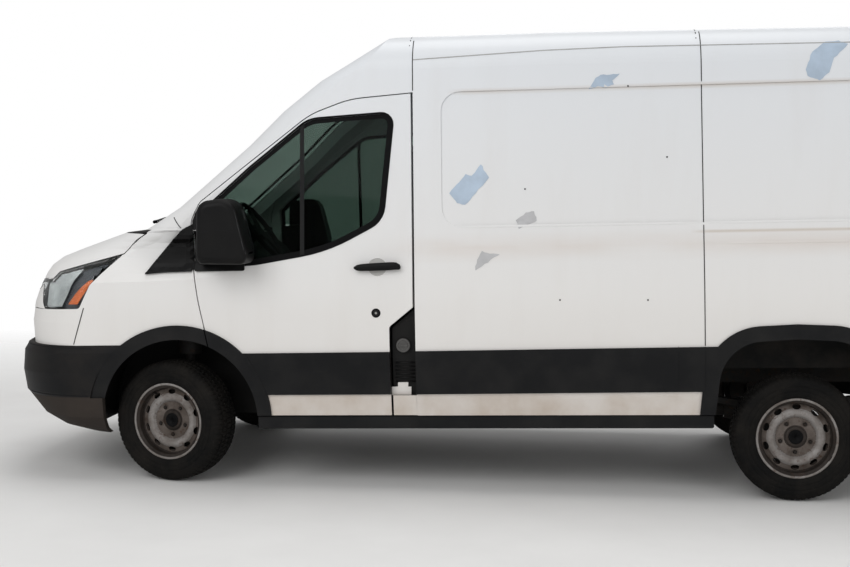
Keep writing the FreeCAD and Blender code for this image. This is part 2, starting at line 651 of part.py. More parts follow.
# Fuel filler behind the notch of the left door: a backing of the wall and a cap in a housing
filler_low = solid("filler_low", side_prism([(1219, v.door_bottom, 0), (1219, 463, 0), (SEAM, 463, 0),
                                             (SEAM, v.door_bottom, 0)], -WIDE, -300))
FILLER_NICHE = [(1219, 463, 0), (1219, 819, 25), (SEAM, 922, 0), (SEAM, 463, 0)]
filler_niche = solid("filler_niche", side_prism(FILLER_NICHE, -WIDE, -300))
niche_span = Part.makeBox(200, WIDE, 700, Vector(SEAM - 200, -WIDE, 300))


def side_layer(outside, inside):
    """The stretch of the plain left side between two depths, beside the fuel filler."""
    return niche_span.common(section_form(outside)).cut(section_form(inside))


niche_back = solid("niche_back", side_layer(v.niche_depth, v.wall))
side_left = fused("side_left_panel", side_left_wall, shared("filler_foot", cab_wall, filler_low),
                  shared("filler_back", niche_back, filler_niche))
filler_plate = shared("filler_plate", solid("filler_layer", side_layer(v.niche_depth - 12, v.niche_depth)),
                      filler_niche)
filler_cap = rod("filler_cap", "y", ("1278", "-1000", "728"), "36", "24")
fuel_filler = fused("fuel_filler_unit", filler_plate, filler_cap)

# Black cladding of the body sides: flares, mouldings, sails ahead of the doors and sill strips

BUMPER_FRONT = 4300   # front end of the rear bumper
SAIL = [(-108, 1126, 0), (134, 1352, 0), (146, 1352, 0), (150, 1132, 0)]

def body_cladding(sign):
    near, far = sorted((sign * 300, sign * WIDE))
    ring = arch_disc(v.arch_radius + v.flare_width, near, far).cut(arch_disc(v.arch_radius, near, far))
    ahead = side_prism([(-600, 455, 0), (-600, 900, 0), (300, 900, 0), (300, 455, 0)], near, far)
    front_flare = cab_skin.Shape.common(ring.common(ahead)).cut(side_prism(DOOR_GAP, near, far, v.panel_gap))
    back = v.front_door_rear_edge
    end = BUMPER_FRONT - 4
    moulding = side_prism([(back, 470, 0), (back, 699, 0), (end, 722, 0), (end, 486, 0)], near, far)
    flare = side_prism(rear_arch(0), near, far)
    opening = side_prism(rear_arch(v.flare_width), near, far)
    low = Part.makeBox(3300, WIDE, 2200, Vector(back, near, 355))
    rear = rear_skin.Shape.common(moulding.fuse(flare).common(low)).cut(opening)
    sail = cab_skin.Shape.common(side_prism(SAIL, near, far))
    strip_near, strip_far = sorted((sign * v.sill_outer, sign * 978))
    strip = side_prism([(486, v.sill_bottom, 12), (486, v.door_bottom - 8, 0), (2880, v.door_bottom - 8, 0),
                        (2880, v.sill_bottom, 12)], strip_near, strip_far)
    return front_flare, rear, sail, strip


cladding_parts = []
for sign in (-1, 1):
    for number, shape in enumerate(body_cladding(sign)):
        cladding_parts.append(solid("cladding_%d_%d" % (sign + 1, number), shape))
cladding_parts.append(solid("sliding_door_handle", pull_handle(1, 1400, 1640)))
side_cladding = together("side_cladding_set", *cladding_parts)

# Floor with wheelhouses, sills and toe board

cab_floor = shared("cab_floor_cut", cab_room,
                   block("cab_floor", ("liner_radius + 40", "front_door_rear_edge"), ("-930", "930"),
                         ("load_floor - floor_depth", "load_floor - cab_floor_drop")))
load_floor = shared("load_floor_cut", load_room,
                    block("load_floor_plate", ("front_door_rear_edge - 1", "tail_face - wall - 25"),
                          ("-1000", "1000"), ("load_floor - floor_depth", "load_floor")))
toe_board = block("toe_board", ("-30", "liner_radius + 41"), ("-537", "537"),
                  ("load_floor - floor_depth", "load_floor - cab_floor_drop"))
sills = []
for side, (near, far) in {"left": ("-sill_outer", "-850"), "right": ("850", "sill_outer")}.items():
    sills.append(block("sill_" + side, ("510", "wheelbase - 520"), (near, far),
                       ("sill_bottom + 6", "load_floor - floor_depth + 1")))
wheelhouses = []
floor_cuts = []
BOX_SPAN = ("wheelbase - 440", "wheelbase + 420")
for side, (near, far) in {"left": ("-945", "-700"), "right": ("700", "945")}.items():
    box = block("wheel_box_" + side, BOX_SPAN, (near, far), ("load_floor - floor_depth", "860"))
    grown = ("-1005", "-712") if side == "left" else ("712", "1005")
    well = block("wheel_well_" + side, ("wheelbase - 428", "wheelbase + 408"), grown, ("300", "848"))
    wheelhouses.append(shared("rear_wheelhouse_" + side, load_room, cut("wheel_box_shell_" + side, box, well)))
    seat_span = ("-1005", far) if side == "left" else (near, "1005")
    floor_cuts.append(block("wheel_box_cut_" + side, BOX_SPAN, seat_span, ("300", "860")))
rear_wheelhouses = together("rear_wheelhouse_pair", *wheelhouses)
floor_fused = fused("floor_fused", cab_floor, load_floor, toe_board, *sills)
floor_pan = cut("floor_pan_solid", floor_fused, together("wheel_box_cuts", *floor_cuts))


LINER_REACH = 900     # outer end of a wheelhouse beside a door or the bumper skirt


def inner_structure():
    """Firewall, front wheelhouses and strut towers, inside the front panels."""
    wall = Part.makeBox(40, 2000, 1340 - 560, Vector(-70, -1000, 560))
    parts = wall
    for sign in (-1, 1):
        near, far = sorted((sign * 545, sign * 1100))
        axis = Vector(0, 1, 0)
        centre = Vector(30, near, v.arch_height)
        shell = Part.makeCylinder(v.liner_radius + v.liner_skin, far - near, centre, axis)
        parts = parts.fuse(shell)
        side_near, side_far = sorted((sign * 537, sign * 546))
        cheek = Part.makeCylinder(v.liner_radius + v.liner_skin, side_far - side_near,
                                  Vector(30, side_near, v.arch_height), axis)
        parts = parts.fuse(cheek)
    for sign in (-1, 1):
        near, far = sorted((sign * 545, sign * 1100))
        centre = Vector(30, near, v.arch_height)
        parts = parts.cut(Part.makeCylinder(v.liner_radius, far - near, centre, Vector(0, 1, 0)))
    parts = parts.cut(Part.makeBox(1600, 2400, 200, Vector(-800, -1200, 100)))
    for side_near in (-WIDE, LINER_REACH):
        parts = parts.cut(Part.makeBox(600, WIDE - LINER_REACH, 1300, Vector(140, side_near, 100)))
        parts = parts.cut(Part.makeBox(1300, WIDE - LINER_REACH, 460, Vector(-600, side_near, 100)))
    return parts.common(cab_lining)


bulkhead = solid("firewall_unit", inner_structure())

# Chassis rails with the tow socket, and between them the cross members and the front axle frame

RAIL_SPAN = ("-860", "tail_face - 90")
RAIL_HEIGHTS = ("load_floor - floor_depth - rail_depth", "load_floor - floor_depth")
rail_left = block("rail_left", RAIL_SPAN, ("-rail_inner - rail_width", "-rail_inner"), RAIL_HEIGHTS)
rail_right = block("rail_right", RAIL_SPAN, ("rail_inner", "rail_inner + rail_width"), RAIL_HEIGHTS)
tow_block = block("tow_block", ("-880", "-790"), ("600", "680"), ("510", "590"))
tow_arm = block("tow_arm", ("-860", "-790"), ("rail_inner + rail_width - 1", "640"), ("510", "550"))
tow_hole = rod("tow_hole", "x", ("-900", "640", "550"), "tow_socket_radius", "20 + tow_socket_depth")
chassis = together("chassis_rail_pair", rail_left,
                   cut("rail_with_socket", fused("rail_joined", rail_right, tow_block, tow_arm), tow_hole))
members = []
for number, x in enumerate((-860, 530, 1350, 2400, 4285)):
    members.append(block("cross_member_%d" % number, (str(x), "%d + 70" % x), ("-rail_inner", "rail_inner"),
                         ("load_floor - floor_depth - rail_depth + 10", "load_floor - floor_depth - 10")))
frame = []
frame.append(block("axle_beam", ("kingpin_back - 60", "kingpin_back + 60"), ("-480", "480"), ("235", "300")))
for side, (near, far) in {"left": ("-470", "-400"), "right": ("400", "470")}.items():
    frame.append(block("beam_leg_" + side, ("kingpin_back - 40", "kingpin_back + 40"), (near, far),
                       ("290", RAIL_HEIGHTS[0])))
UPRIGHT = Placement(Vector(), Rotation(Vector(0, 1, 0), v.rake_angle), Vector(0, 0, v.axle_height))
for side, sign in (("left", -1), ("right", 1)):
    centre = "%g * kingpin_offset" % sign
    reach = ("-kingpin_offset", "-470") if sign < 0 else ("470", "kingpin_offset")
    root = ("-500", "-440") if sign < 0 else ("440", "500")
    frame.append(block("lower_arm_" + side, ("kingpin_back - 30", "kingpin_back + 30"), reach,
                       ("190", "215")))
    frame.append(block("arm_root_" + side, ("kingpin_back - 45", "kingpin_back + 45"), root, ("190", "240")))
    # The eye and its pin stand upright once the body has leaned
    eye = rod("arm_eye_" + side, "z", ("kingpin_back", centre, "190"), "36",
              "axle_height - 90 - steer_clearance - 190")
    pin = rod("ball_pin_" + side, "z", ("kingpin_back", centre, "200"), "12", "axle_height - 60 - 200")
    joint = fused("ball_joint_" + side, eye, pin)
    joint.Placement = UPRIGHT
    frame.append(joint)
cross_members = together("cross_member_set", *members, fused("front_axle_frame", *frame))

# Engine, driveline, exhaust, fuel tank and spare wheel

engine = fused("engine_block", block("engine_main", ("-640", "-90"), ("-210", "210"), ("330", "1060")),
               block("gearbox", ("-100", "500"), ("-150", "150"), ("300", "540")))
radiator = block("radiator_core", ("-790", "-730"), ("-380", "380"), ("470", "1010"))
exhaust = fused("exhaust_line", rod("front_pipe", "x", ("-300", "250", "360"), "28", "2150"),
                rod("silencer", "x", ("1700", "250", "380"), "95", "620"),
                rod("tail_pipe", "x", ("2250", "250", "400"), "26", "550"),
                block("front_hanger", ("545", "585"), ("235", "265"), ("380", "460")),
                block("rear_hanger", ("2415", "2455"), ("235", "265"), ("410", "460")))
fuel_tank = block("fuel_tank_box", ("700", "1900"), ("-840", "-470"), ("330", "load_floor - floor_depth"))
spare_wheel = rod("spare_wheel_disc", "z", ("wheelbase + 640", "0", "load_floor - floor_depth - tyre_width"),
                  "tyre_radius", "tyre_width")

# Rear axle and leaf springs, at the rear wheel centre seen from the leaning body
rake = math.radians(v.rake_angle)
REAR_X = v.wheelbase * math.cos(rake)
REAR_Z = v.axle_height - v.wheelbase * math.sin(rake)


def axle_casing():
    half = v.track_rear / 2
    parts = Part.makeCylinder(42, 2 * (half - 60), Vector(REAR_X, -half + 60, REAR_Z), Vector(0, 1, 0))
    parts = parts.fuse(Part.makeSphere(135, Vector(REAR_X, 0, REAR_Z)))
    parts = parts.fuse(Part.makeCone(50, 90, 180, Vector(REAR_X - 260, 0, REAR_Z), Vector(1, 0, 0)))
    for sign in (-1, 1):
        near = sign * (half - 95)
        start = min(near, near + sign * 40)
        parts = parts.fuse(Part.makeCylinder(130, 40, Vector(REAR_X, start, REAR_Z), Vector(0, 1, 0)))
        inboard = min(sign * (half - 70), sign * (half + 38))
        parts = parts.fuse(Part.makeCylinder(v.hub_bore_radius - v.pin_clearance, 108,
                                             Vector(REAR_X, inboard, REAR_Z), Vector(0, 1, 0)))
        parts = parts.fuse(Part.makeBox(90, 76, 110, Vector(REAR_X - 45, sign * 560 - 38, REAR_Z - 10)))
    return parts


def leaf_springs():
    springs = []
    for sign in (-1, 1):
        base = REAR_Z + 60
        spring = [(REAR_X - 650, 410, 0), (REAR_X - 650, 430, 0), (REAR_X, base + 46, 900),
                  (REAR_X + 650, 430, 0), (REAR_X + 650, 410, 0), (REAR_X, base, 900)]
        leaf = side_prism(spring, sign * 560 - 32, sign * 560 + 32)
        for x in (REAR_X - 650, REAR_X + 650):
            leaf = leaf.fuse(Part.makeCylinder(28, 64, Vector(x, sign * 560 - 32, 420), Vector(0, 1, 0)))
            leaf = leaf.fuse(Part.makeBox(30, 132, 130, Vector(x - 15, sign * 526 - 66, 430)))
        springs.append(leaf)
    return springs[0].fuse(springs[1])


rear_axle = solid("rear_axle_casing", axle_casing().fuse(leaf_springs()))

# The propeller shaft runs from the gearbox to the nose of the axle
SHAFT_START = Vector(495, 0, 400)
shaft_run = Vector(REAR_X - 250, 0, REAR_Z) - SHAFT_START
shaft = doc.addObject("Part::Cylinder", "shaft_tube")
bind(shaft, Radius="38", Height="%.3f" % shaft_run.Length)
shaft.Placement = Placement(SHAFT_START, Rotation(Vector(0, 0, 1), shaft_run))
propshaft = cut("propshaft_tube", shaft, engine, rear_axle)

# Cabin: dashboard, steering wheel and seats
DASH_HALF = 800       # ends of the dashboard from the centre line
DASH = [(-30, 1000, 0), (-30, 1310, 30), (150, 1300, 60), (300, 1180, 60), (260, 960, 60), (120, 900, 0)]


def steering():
    """Rim, spokes and column, tilted towards the driver on the left."""
    centre = Vector(400, -430, 1330)
    normal = Vector(math.cos(math.radians(35)), 0, math.sin(math.radians(35)))
    rim = Part.makeTorus(185, 14, centre, normal)
    parts = rim.fuse(Part.makeCylinder(55, 45, centre - normal * 45, normal))
    for angle in (0, 120, 240):
        spoke = Part.makeBox(185, 36, 14, Vector(0, -18, -12))
        spoke.rotate(Vector(), Vector(0, 0, 1), angle + 30)
        spoke.Placement = Placement(centre, Rotation(Vector(0, 0, 1), normal)).multiply(spoke.Placement)
        parts = parts.fuse(spoke)
    return parts.fuse(Part.makeCylinder(26, 210, centre - normal * 240, normal))


steering_wheel = solid("steering_assembly", steering())
dashboard = cut("dashboard_moulding", solid("dashboard_body", side_prism(DASH, -DASH_HALF, DASH_HALF)),
                steering_wheel)

SEAT_FOOT = v.load_floor - v.cab_floor_drop
PEDESTAL = [(760, SEAT_FOOT, 0), (760, 890, 20), (1150, 880, 20), (1150, SEAT_FOOT, 0)]
CUSHION = [(680, 880, 40), (690, 1000, 50), (1180, 960, 30), (1180, 840, 30)]
BACKREST = [(1080, 900, 30), (1165, 1640, 50), (1275, 1650, 50), (1230, 880, 40)]


def seat(y_from, y_to):
    """Pedestal, cushion, backrest and head restraints of one seat."""
    parts = side_prism(PEDESTAL, y_from + 40, y_to - 40)
    parts = parts.fuse([side_prism(CUSHION, y_from, y_to), side_prism(BACKREST, y_from, y_to)])
    count = 1 if y_to - y_from < 700 else 2
    for index in range(count):
        middle = y_from + (y_to - y_from) * (index + 0.5) / count
        parts = parts.fuse(side_prism([(1180, 1600, 0), (1190, 1830, 40), (1270, 1835, 40), (1262, 1600, 0)],
                                      middle - 130, middle + 130))
    return parts


seats = together("seat_set", solid("driver_seat", seat(-690, -190)), solid("passenger_seat", seat(-80, 780)))

# Rear bumper with its step, on the outside of the panels
BUMPER_SIDE = side_half_width(640) + 8
BUMPER_PLAN = [(BUMPER_FRONT, -BUMPER_SIDE, 0), (v.tail_bumper_reach, -BUMPER_SIDE, 110),
               (v.tail_bumper_reach, BUMPER_SIDE, 110), (BUMPER_FRONT, BUMPER_SIDE, 0)]
BUMPER_FOOT = 370
rear_bumper = solid("rear_bumper_shell", plan_prism(BUMPER_PLAN, BUMPER_FOOT, 560).cut(rear_outer))

# Wheels: y runs across the wheel, the outboard side of a left wheel at negative y

def turned(name, points):
    """Ring turned about y from a closed outline of (y, radius, corner radius)."""
    wire = rounded(points, lambda p: Vector(0, p.x, p.y))
    return Part.Face(wire).revolve(Vector(), Vector(0, 1, 0), 360)


TYRE_SECTORS = 56     # flat faces round a tyre


def tyre_shape():
    """Ring of flat faces about y: beads on the rim, bulged sidewalls and a nearly flat crown."""
    half = v.tyre_width / 2
    seat_half = v.rim_width / 2 - 12
    crown = v.tyre_radius
    bead = v.rim_width / 2 - 7
    lip = v.flange_radius + 1
    inside = 1 / math.cos(math.pi / TYRE_SECTORS)
    side = [(seat_half, v.tyre_seat_radius * inside), (bead, lip * inside), (half, lip + 42),
            (half - 3, crown - 32), (half - 18, crown - 9), (half - 48, crown)]
    outline = [(-y, radius) for y, radius in side] + list(reversed(side))
    rings = []
    for y, radius in outline:
        ring = []
        for sector in range(TYRE_SECTORS):
            angle = 2 * math.pi * sector / TYRE_SECTORS
            ring.append(Vector(radius * math.cos(angle), y, radius * math.sin(angle)))
        rings.append(ring)
    faces = []
    for here, following in zip(rings, rings[1:] + rings[:1]):
        for sector in range(TYRE_SECTORS):
            ahead = (sector + 1) % TYRE_SECTORS
            corners = [here[sector], here[ahead], following[ahead], following[sector], here[sector]]
            faces.append(Part.Face(Part.makePolygon(corners)))
    shell = Part.makeShell(faces)
    ring = Part.makeSolid(shell)
    if ring.Volume < 0:
        ring.reverse()
    return ring


def rim_shape():
    half = v.rim_width / 2
    skin = v.rim_skin
    seat_radius = v.tyre_seat_radius
    flange = v.flange_radius
    face = -half + v.disc_recess
    barrel = [(-half, flange, 3), (-half + 7, flange, 0), (-half + 12, seat_radius, 0),
              (-45, seat_radius - 2, 0), (-32, seat_radius - 18, 0), (40, seat_radius - 18, 0),
              (52, seat_radius - 2, 0),
              (half - 12, seat_radius, 0), (half - 7, flange, 0), (half, flange, 0), (half, flange - 8, 0),
              (half - 5, seat_radius - skin, 0), (55, seat_radius - skin - 2, 0),
              (42, seat_radius - 18 - skin, 0), (-34, seat_radius - 18 - skin, 0),
              (-48, seat_radius - 2 - skin, 0),
              (-half + 5, seat_radius - skin, 0), (-half, flange - 8, 0)]
    disc = [(face + 4, seat_radius - 7, 0), (face - 6, 150, 30), (face - 6, 112, 14), (face + 12, 100, 14),
            (face + 12, v.hub_bore_radius, 0), (face + 22, v.hub_bore_radius, 0), (face + 22, 104, 0),
            (face + 4, 118, 0), (face + 4, 146, 0), (face + 14, seat_radius - 7, 0)]
    hub = [(face + 2, 54, 3), (face + 2, v.hub_bore_radius, 0), (10, v.hub_bore_radius, 0), (10, 75, 0),
           (face + 20, 75, 0), (face + 12, 54, 0)]
    brake = [(8, 60, 0), (8, 145, 0), (30, 145, 0), (30, 60, 0)]
    wheel = turned("barrel", barrel).fuse([turned("disc", disc), turned("hub", hub), turned("brake", brake)])
    for index in range(int(v.vent_count)):
        vent = Part.makeCylinder(11, 60, Vector(0, face - 30, v.vent_circle), Vector(0, 1, 0))
        left = vent.translated(Vector(-9, 0, 0))
        bridge = Part.makeBox(18, 60, 22, Vector(-9, face - 30, v.vent_circle - 11))
        slot = left.fuse([vent.translated(Vector(9, 0, 0)), bridge])
        slot.rotate(Vector(), Vector(0, 1, 0), 360 / v.vent_count * index)
        wheel = wheel.cut(slot)
    for index in range(int(v.stud_count)):
        nut = Part.makeCylinder(13, 24, Vector(0, face - 8, v.stud_circle), Vector(0, 1, 0))
        nut.rotate(Vector(), Vector(0, 1, 0), 360 / v.stud_count * (index + 0.5))
        wheel = wheel.fuse(nut)
    return wheel


def knuckle_shape():
    """Hub carrier, stub axle and strut of the left front wheel, about the wheel centre."""
    plane = v.track_front / 2
    kingpin = plane - v.kingpin_offset
    stub = Part.makeCylinder(v.hub_bore_radius - v.pin_clearance, 80, Vector(0, -38, 0), Vector(0, 1, 0))
    carrier = Part.makeCylinder(60, kingpin + 60 - 36, Vector(0, 36, 0), Vector(0, 1, 0))
    strut = Part.makeCylinder(26, 420, Vector(0, kingpin, 20), Vector(0, 0, 1))
    spring = Part.makeCylinder(62, 100, Vector(0, kingpin, 345), Vector(0, 0, 1))
    foot = Part.makeCylinder(38, 90, Vector(0, kingpin, -90), Vector(0, 0, 1))
    bore = Part.makeCylinder(12 + v.pin_clearance, 60, Vector(0, kingpin, -90), Vector(0, 0, 1))
    return stub.fuse([carrier, strut, spring, foot]).cut(bore)


tyre_left = tyre_shape()
rim_left = rim_shape()
knuckle_left = knuckle_shape()


def other_side(shape):
    return shape.mirror(Vector(), Vector(0, 1, 0))


# Nodes of the body, drawn level and then set to the rake
BODY_NODES = {
    "floor_pan": floor_pan, "side_left": side_left, "side_right": side_right, "sliding_door": sliding_door,
    "roof": roof, "cab_roof": cab_roof, "windscreen": windscreen, "cowl_panel": cowl, "firewall": bulkhead,
    "front_fenders": fenders, "bumper_cover": bumper_cover, "bumper_skirt": bumper_skirt, "grille": grille,
    "headlamps": headlamps, "tail_lamps": tail_lamps, "rear_bumper": rear_bumper,
    "side_cladding": side_cladding, "fuel_filler": fuel_filler, "chassis_rails": chassis,
    "cross_members": cross_members, "rear_wheelhouses": rear_wheelhouses, "engine": engine,
    "radiator": radiator, "propshaft": propshaft, "exhaust": exhaust, "fuel_tank": fuel_tank,
    "rear_axle": rear_axle, "spare_wheel": spare_wheel, "dashboard": dashboard,
    "steering_wheel": steering_wheel, "seats": seats,
    "door_left": door_left, "door_right": door_right, "door_glass_left": glass_left,
    "door_glass_right": glass_right, "door_cladding_left": trim_left, "door_cladding_right": trim_right,
    "mirror_left": mirror_left, "mirror_right": mirror_right, "bonnet": bonnet,
    "rear_door_left": rear_door_left, "rear_door_right": rear_door_right,
}

doc.recompute()

# The rake turns the body about the front wheel centre, which stands at the tyre's radius


def leaned_x(x, z):
    return x * math.cos(rake) - (z - v.axle_height) * math.sin(rake)


front_end = min(leaned_x(nose, height) for height, nose, *shape in SKIRT)
back_end = leaned_x(v.tail_bumper_reach, BUMPER_FOOT)
MIDDLE = (front_end + back_end) / 2
lean = Placement(Vector(-MIDDLE, 0, v.tyre_radius - v.axle_height), Rotation(Vector(0, 1, 0), -v.rake_angle),
                 Vector(0, 0, v.axle_height))

# Pieces that also trim another piece stay level; their nodes wrap them
TRIMMING = (engine, rear_axle, steering_wheel)

nodes = {}
for name, piece in BODY_NODES.items():
    node = piece
    if piece.TypeId in ("Part::Box", "Part::Cylinder") or piece in TRIMMING:
        node = together(name + "_node", piece)
        doc.recompute()
    node.Placement = lean
    node.Label = name
    nodes[name] = node


def steered(sign):
    """Place of a front wheel, turned about its steering axis."""
    axis = Vector(v.kingpin_back - MIDDLE, sign * v.kingpin_offset, v.tyre_radius)
    turn = Placement(axis, Rotation(Vector(0, 0, 1), -v.steer_at_rest))
    return turn.multiply(Placement(Vector(0, sign * (v.track_front / 2 - v.kingpin_offset), 0), Rotation()))


for side, sign in (("left", -1), ("right", 1)):
    turned_side = other_side if sign > 0 else (lambda shape: shape)
    rear = Placement(Vector(v.wheelbase - MIDDLE, sign * v.track_rear / 2, v.tyre_radius), Rotation())
    for name, shape, place in (
            ("knuckle_" + side, turned_side(knuckle_left), steered(sign)),
            ("tyre_front_" + side, tyre_left, steered(sign)),
            ("rim_front_" + side, turned_side(rim_left), steered(sign)),
            ("tyre_rear_" + side, tyre_left, rear),
            ("rim_rear_" + side, turned_side(rim_left), rear)):
        node = solid(name, shape)
        node.Placement = place
        node.Label = name
        nodes[name] = node
        if place is not rear:
            print(name, tuple(round(a, 3) for a in place.Base))

doc.recompute()
print("middle %.3f rear wheel %.3f %.3f" % (MIDDLE, REAR_X, REAR_Z))

for piece in doc.Objects:
    if "Invalid" in piece.State or "Error" in piece.State:
        raise RuntimeError("%s: %s" % (piece.Name, piece.State))
os.makedirs("parts", exist_ok=True)
for name, node in nodes.items():
    if node.Shape.isNull() or not node.Shape.isValid():
        raise RuntimeError(name + " has no sound shape")
    node.Shape.exportStep("parts/%s.step" % name)
    box = node.Shape.optimalBoundingBox(False)
    print("%-20s solids %d volume %.4f m3  x %.0f..%.0f y %.0f..%.0f z %.0f..%.0f" % (
        name, len(node.Shape.Solids), node.Shape.Volume / 1e9, box.XMin, box.XMax, box.YMin, box.YMax,
        box.ZMin, box.ZMax))
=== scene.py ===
import json
import math
import random

import bmesh
import bpy
import numpy as np
from mathutils import Matrix, Vector
from mathutils.bvhtree import BVHTree
from mathutils.geometry import delaunay_2d_cdt


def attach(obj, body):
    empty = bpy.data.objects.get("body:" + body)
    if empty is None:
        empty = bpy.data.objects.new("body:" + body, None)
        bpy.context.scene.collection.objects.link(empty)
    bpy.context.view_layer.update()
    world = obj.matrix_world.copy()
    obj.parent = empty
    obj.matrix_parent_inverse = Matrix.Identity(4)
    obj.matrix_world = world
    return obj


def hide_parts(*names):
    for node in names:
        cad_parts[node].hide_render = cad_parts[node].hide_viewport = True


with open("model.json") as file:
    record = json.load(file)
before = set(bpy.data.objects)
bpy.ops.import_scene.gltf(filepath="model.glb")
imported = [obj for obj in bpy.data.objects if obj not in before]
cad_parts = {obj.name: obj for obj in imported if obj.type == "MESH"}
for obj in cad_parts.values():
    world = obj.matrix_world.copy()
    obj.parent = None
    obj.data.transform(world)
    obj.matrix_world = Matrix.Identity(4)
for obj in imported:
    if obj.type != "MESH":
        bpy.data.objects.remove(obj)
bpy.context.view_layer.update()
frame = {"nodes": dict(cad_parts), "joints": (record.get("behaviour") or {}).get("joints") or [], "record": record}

NODES = frame["nodes"]
random.seed(7)

# Places: the level drawing of the body, in millimetres, turned into the row frame

LEAN_SIN = 0.027625
LEAN_COS = 0.999618
MIDDLE = 1737.387
TYRE_RADIUS = 327
AXLE_HEIGHT = 319
SIDES = (("left", -1), ("right", 1))
# Starts of the rays that look for a skin, clear of the body in level millimetres
BESIDE, ABOVE, BEFORE, BEHIND = 1500, 3000, -1600, 5000


def level(x, y, z):
    """Point of the level body (mm: rearward of the front wheel, right, up) in the row frame (m)."""
    up = z - AXLE_HEIGHT
    return Vector(((x * LEAN_COS - up * LEAN_SIN - MIDDLE) / 1000, y / 1000,
                   (TYRE_RADIUS + x * LEAN_SIN + up * LEAN_COS) / 1000))


def frame_at(origin, x_way, y_way, z_way):
    """Matrix of a frame at a point, from its three directions."""
    return Matrix.Translation(origin) @ Matrix((x_way, y_way, z_way)).transposed().to_4x4()


# Camera at the photograph's angle

EYE = Vector((0.3836, -7.731, 1.541))
FOCUS = 1300.0        # pixels
FRAME_WIDTH = 850
FRAME_HEIGHT = 567
SENSOR_WIDTH = 36


def camera_axes():
    yaw = math.radians(6.293)
    pitch = math.radians(3.743)
    roll = math.radians(0.427)
    ahead = Vector((-math.sin(yaw) * math.cos(pitch), math.cos(yaw) * math.cos(pitch), -math.sin(pitch)))
    right = ahead.cross(Vector((0, 0, 1))).normalized()
    up = right.cross(ahead)
    return right * math.cos(roll) + up * math.sin(roll), up * math.cos(roll) - right * math.sin(roll), ahead


RIGHT, UP, AHEAD = camera_axes()


def sight(u, v):
    """Direction in which the camera sees a pixel of the photograph."""
    right, up = u - FRAME_WIDTH / 2, FRAME_HEIGHT / 2 - v
    return (AHEAD + RIGHT * right / FOCUS + UP * up / FOCUS).normalized()


def make_camera():
    data = bpy.data.cameras.new("camera")
    data.sensor_width = SENSOR_WIDTH
    data.lens = FOCUS * SENSOR_WIDTH / FRAME_WIDTH
    camera = bpy.data.objects.new("camera", data)
    camera.matrix_world = frame_at(EYE, RIGHT, UP, -AHEAD)
    bpy.context.scene.collection.objects.link(camera)
    bpy.context.scene.camera = camera


make_camera()

# Skins of the CAD model that pieces are laid on

TREES = {}


def skin(*names):
    if names in TREES:
        return TREES[names]
    points = []
    faces = []
    for name in names:
        mesh = NODES[name].data
        start = len(points)
        points += [v.co.copy() for v in mesh.vertices]
        faces += [[start + i for i in polygon.vertices] for polygon in mesh.polygons]
    TREES[names] = BVHTree.FromPolygons(points, faces)
    return TREES[names]


def cast(tree, start, way, lift):
    """Where a ray meets the skin, lifted off it, with the skin's direction there; or None for both."""
    hit, normal = tree.ray_cast(start, way)[:2]
    if hit is None:
        return None, None
    if normal.dot(way) > 0:
        normal = -normal
    return hit + normal * lift, normal


def side_point(tree, x, z, sign, lift):
    """Point over the body side at level x and z."""
    return cast(tree, level(x, sign * BESIDE, z), Vector((0, -sign, 0)), lift)


def top_point(tree, x, y, lift):
    return cast(tree, level(x, y, ABOVE), Vector((0, 0, -1)), lift)


def front_point(tree, y, z, lift, start=BEFORE):
    return cast(tree, level(start, y, z), Vector((1, 0, 0)), lift)


def tail_point(tree, y, z, lift):
    return cast(tree, level(BEHIND, y, z), Vector((-1, 0, 0)), lift)


def nose_point(tree, turn, z, lift):
    """Point of the nose at a height, seen from outside towards the middle of the cab."""
    way = Vector((-math.cos(turn), math.sin(turn), 0))
    return cast(tree, level(-300, 0, z) + way * 1.8, -way, lift)


def seen_point(tree, u, v, lift):
    """Point of the skin under a pixel of the photograph."""
    return cast(tree, EYE, sight(u, v), lift)


def met(casts):
    """Points and directions of the casts that met the skin."""
    kept = [(point, normal) for point, normal in casts if point is not None]
    return [point for point, normal in kept], [normal for point, normal in kept]


def divided(points, step):
    """The same run of points with one at least every step."""
    out = [points[0]]
    for start, end in zip(points, points[1:]):
        length = math.dist(start, end)
        count = max(1, int(math.ceil(length / step)))
        for i in range(1, count + 1):
            t = i / count
            out.append(tuple(a + (b - a) * t for a, b in zip(start, end)))
    return out


def grid_faces(rows, columns, wrap_rows=False, wrap_columns=False, flip=False):
    """Faces between points that come row by row. A wrapped grid closes on itself."""
    faces = []
    for i in range(rows if wrap_rows else rows - 1):
        j = (i + 1) % rows
        for k in range(columns if wrap_columns else columns - 1):
            m = (k + 1) % columns
            face = [i * columns + k, i * columns + m, j * columns + m, j * columns + k]
            faces.append([face[0], face[3], face[2], face[1]] if flip else face)
    return faces


def spread(ring, step, inset):
    """Flat points in rows over the box round a ring."""
    low_x, high_x = min(p.x for p in ring), max(p.x for p in ring)
    low_y, high_y = min(p.y for p in ring), max(p.y for p in ring)
    return [Vector((x, y)) for x in np.arange(low_x + inset, high_x, step)
            for y in np.arange(low_y + inset, high_y, step)]


def filled(ring, extra, gap):
    """Triangles inside a closed flat ring, with extra points between: points and faces."""
    count = len(ring)
    found = delaunay_2d_cdt(ring + extra, [(i, (i + 1) % count) for i in range(count)],
                            [list(range(count))], 1, gap)
    return found[0], [list(f) for f in found[2]]


# Materials

LEVEL_ZERO = 0.0561   # row height of the level drawing's zero at the row frame's origin, in metres


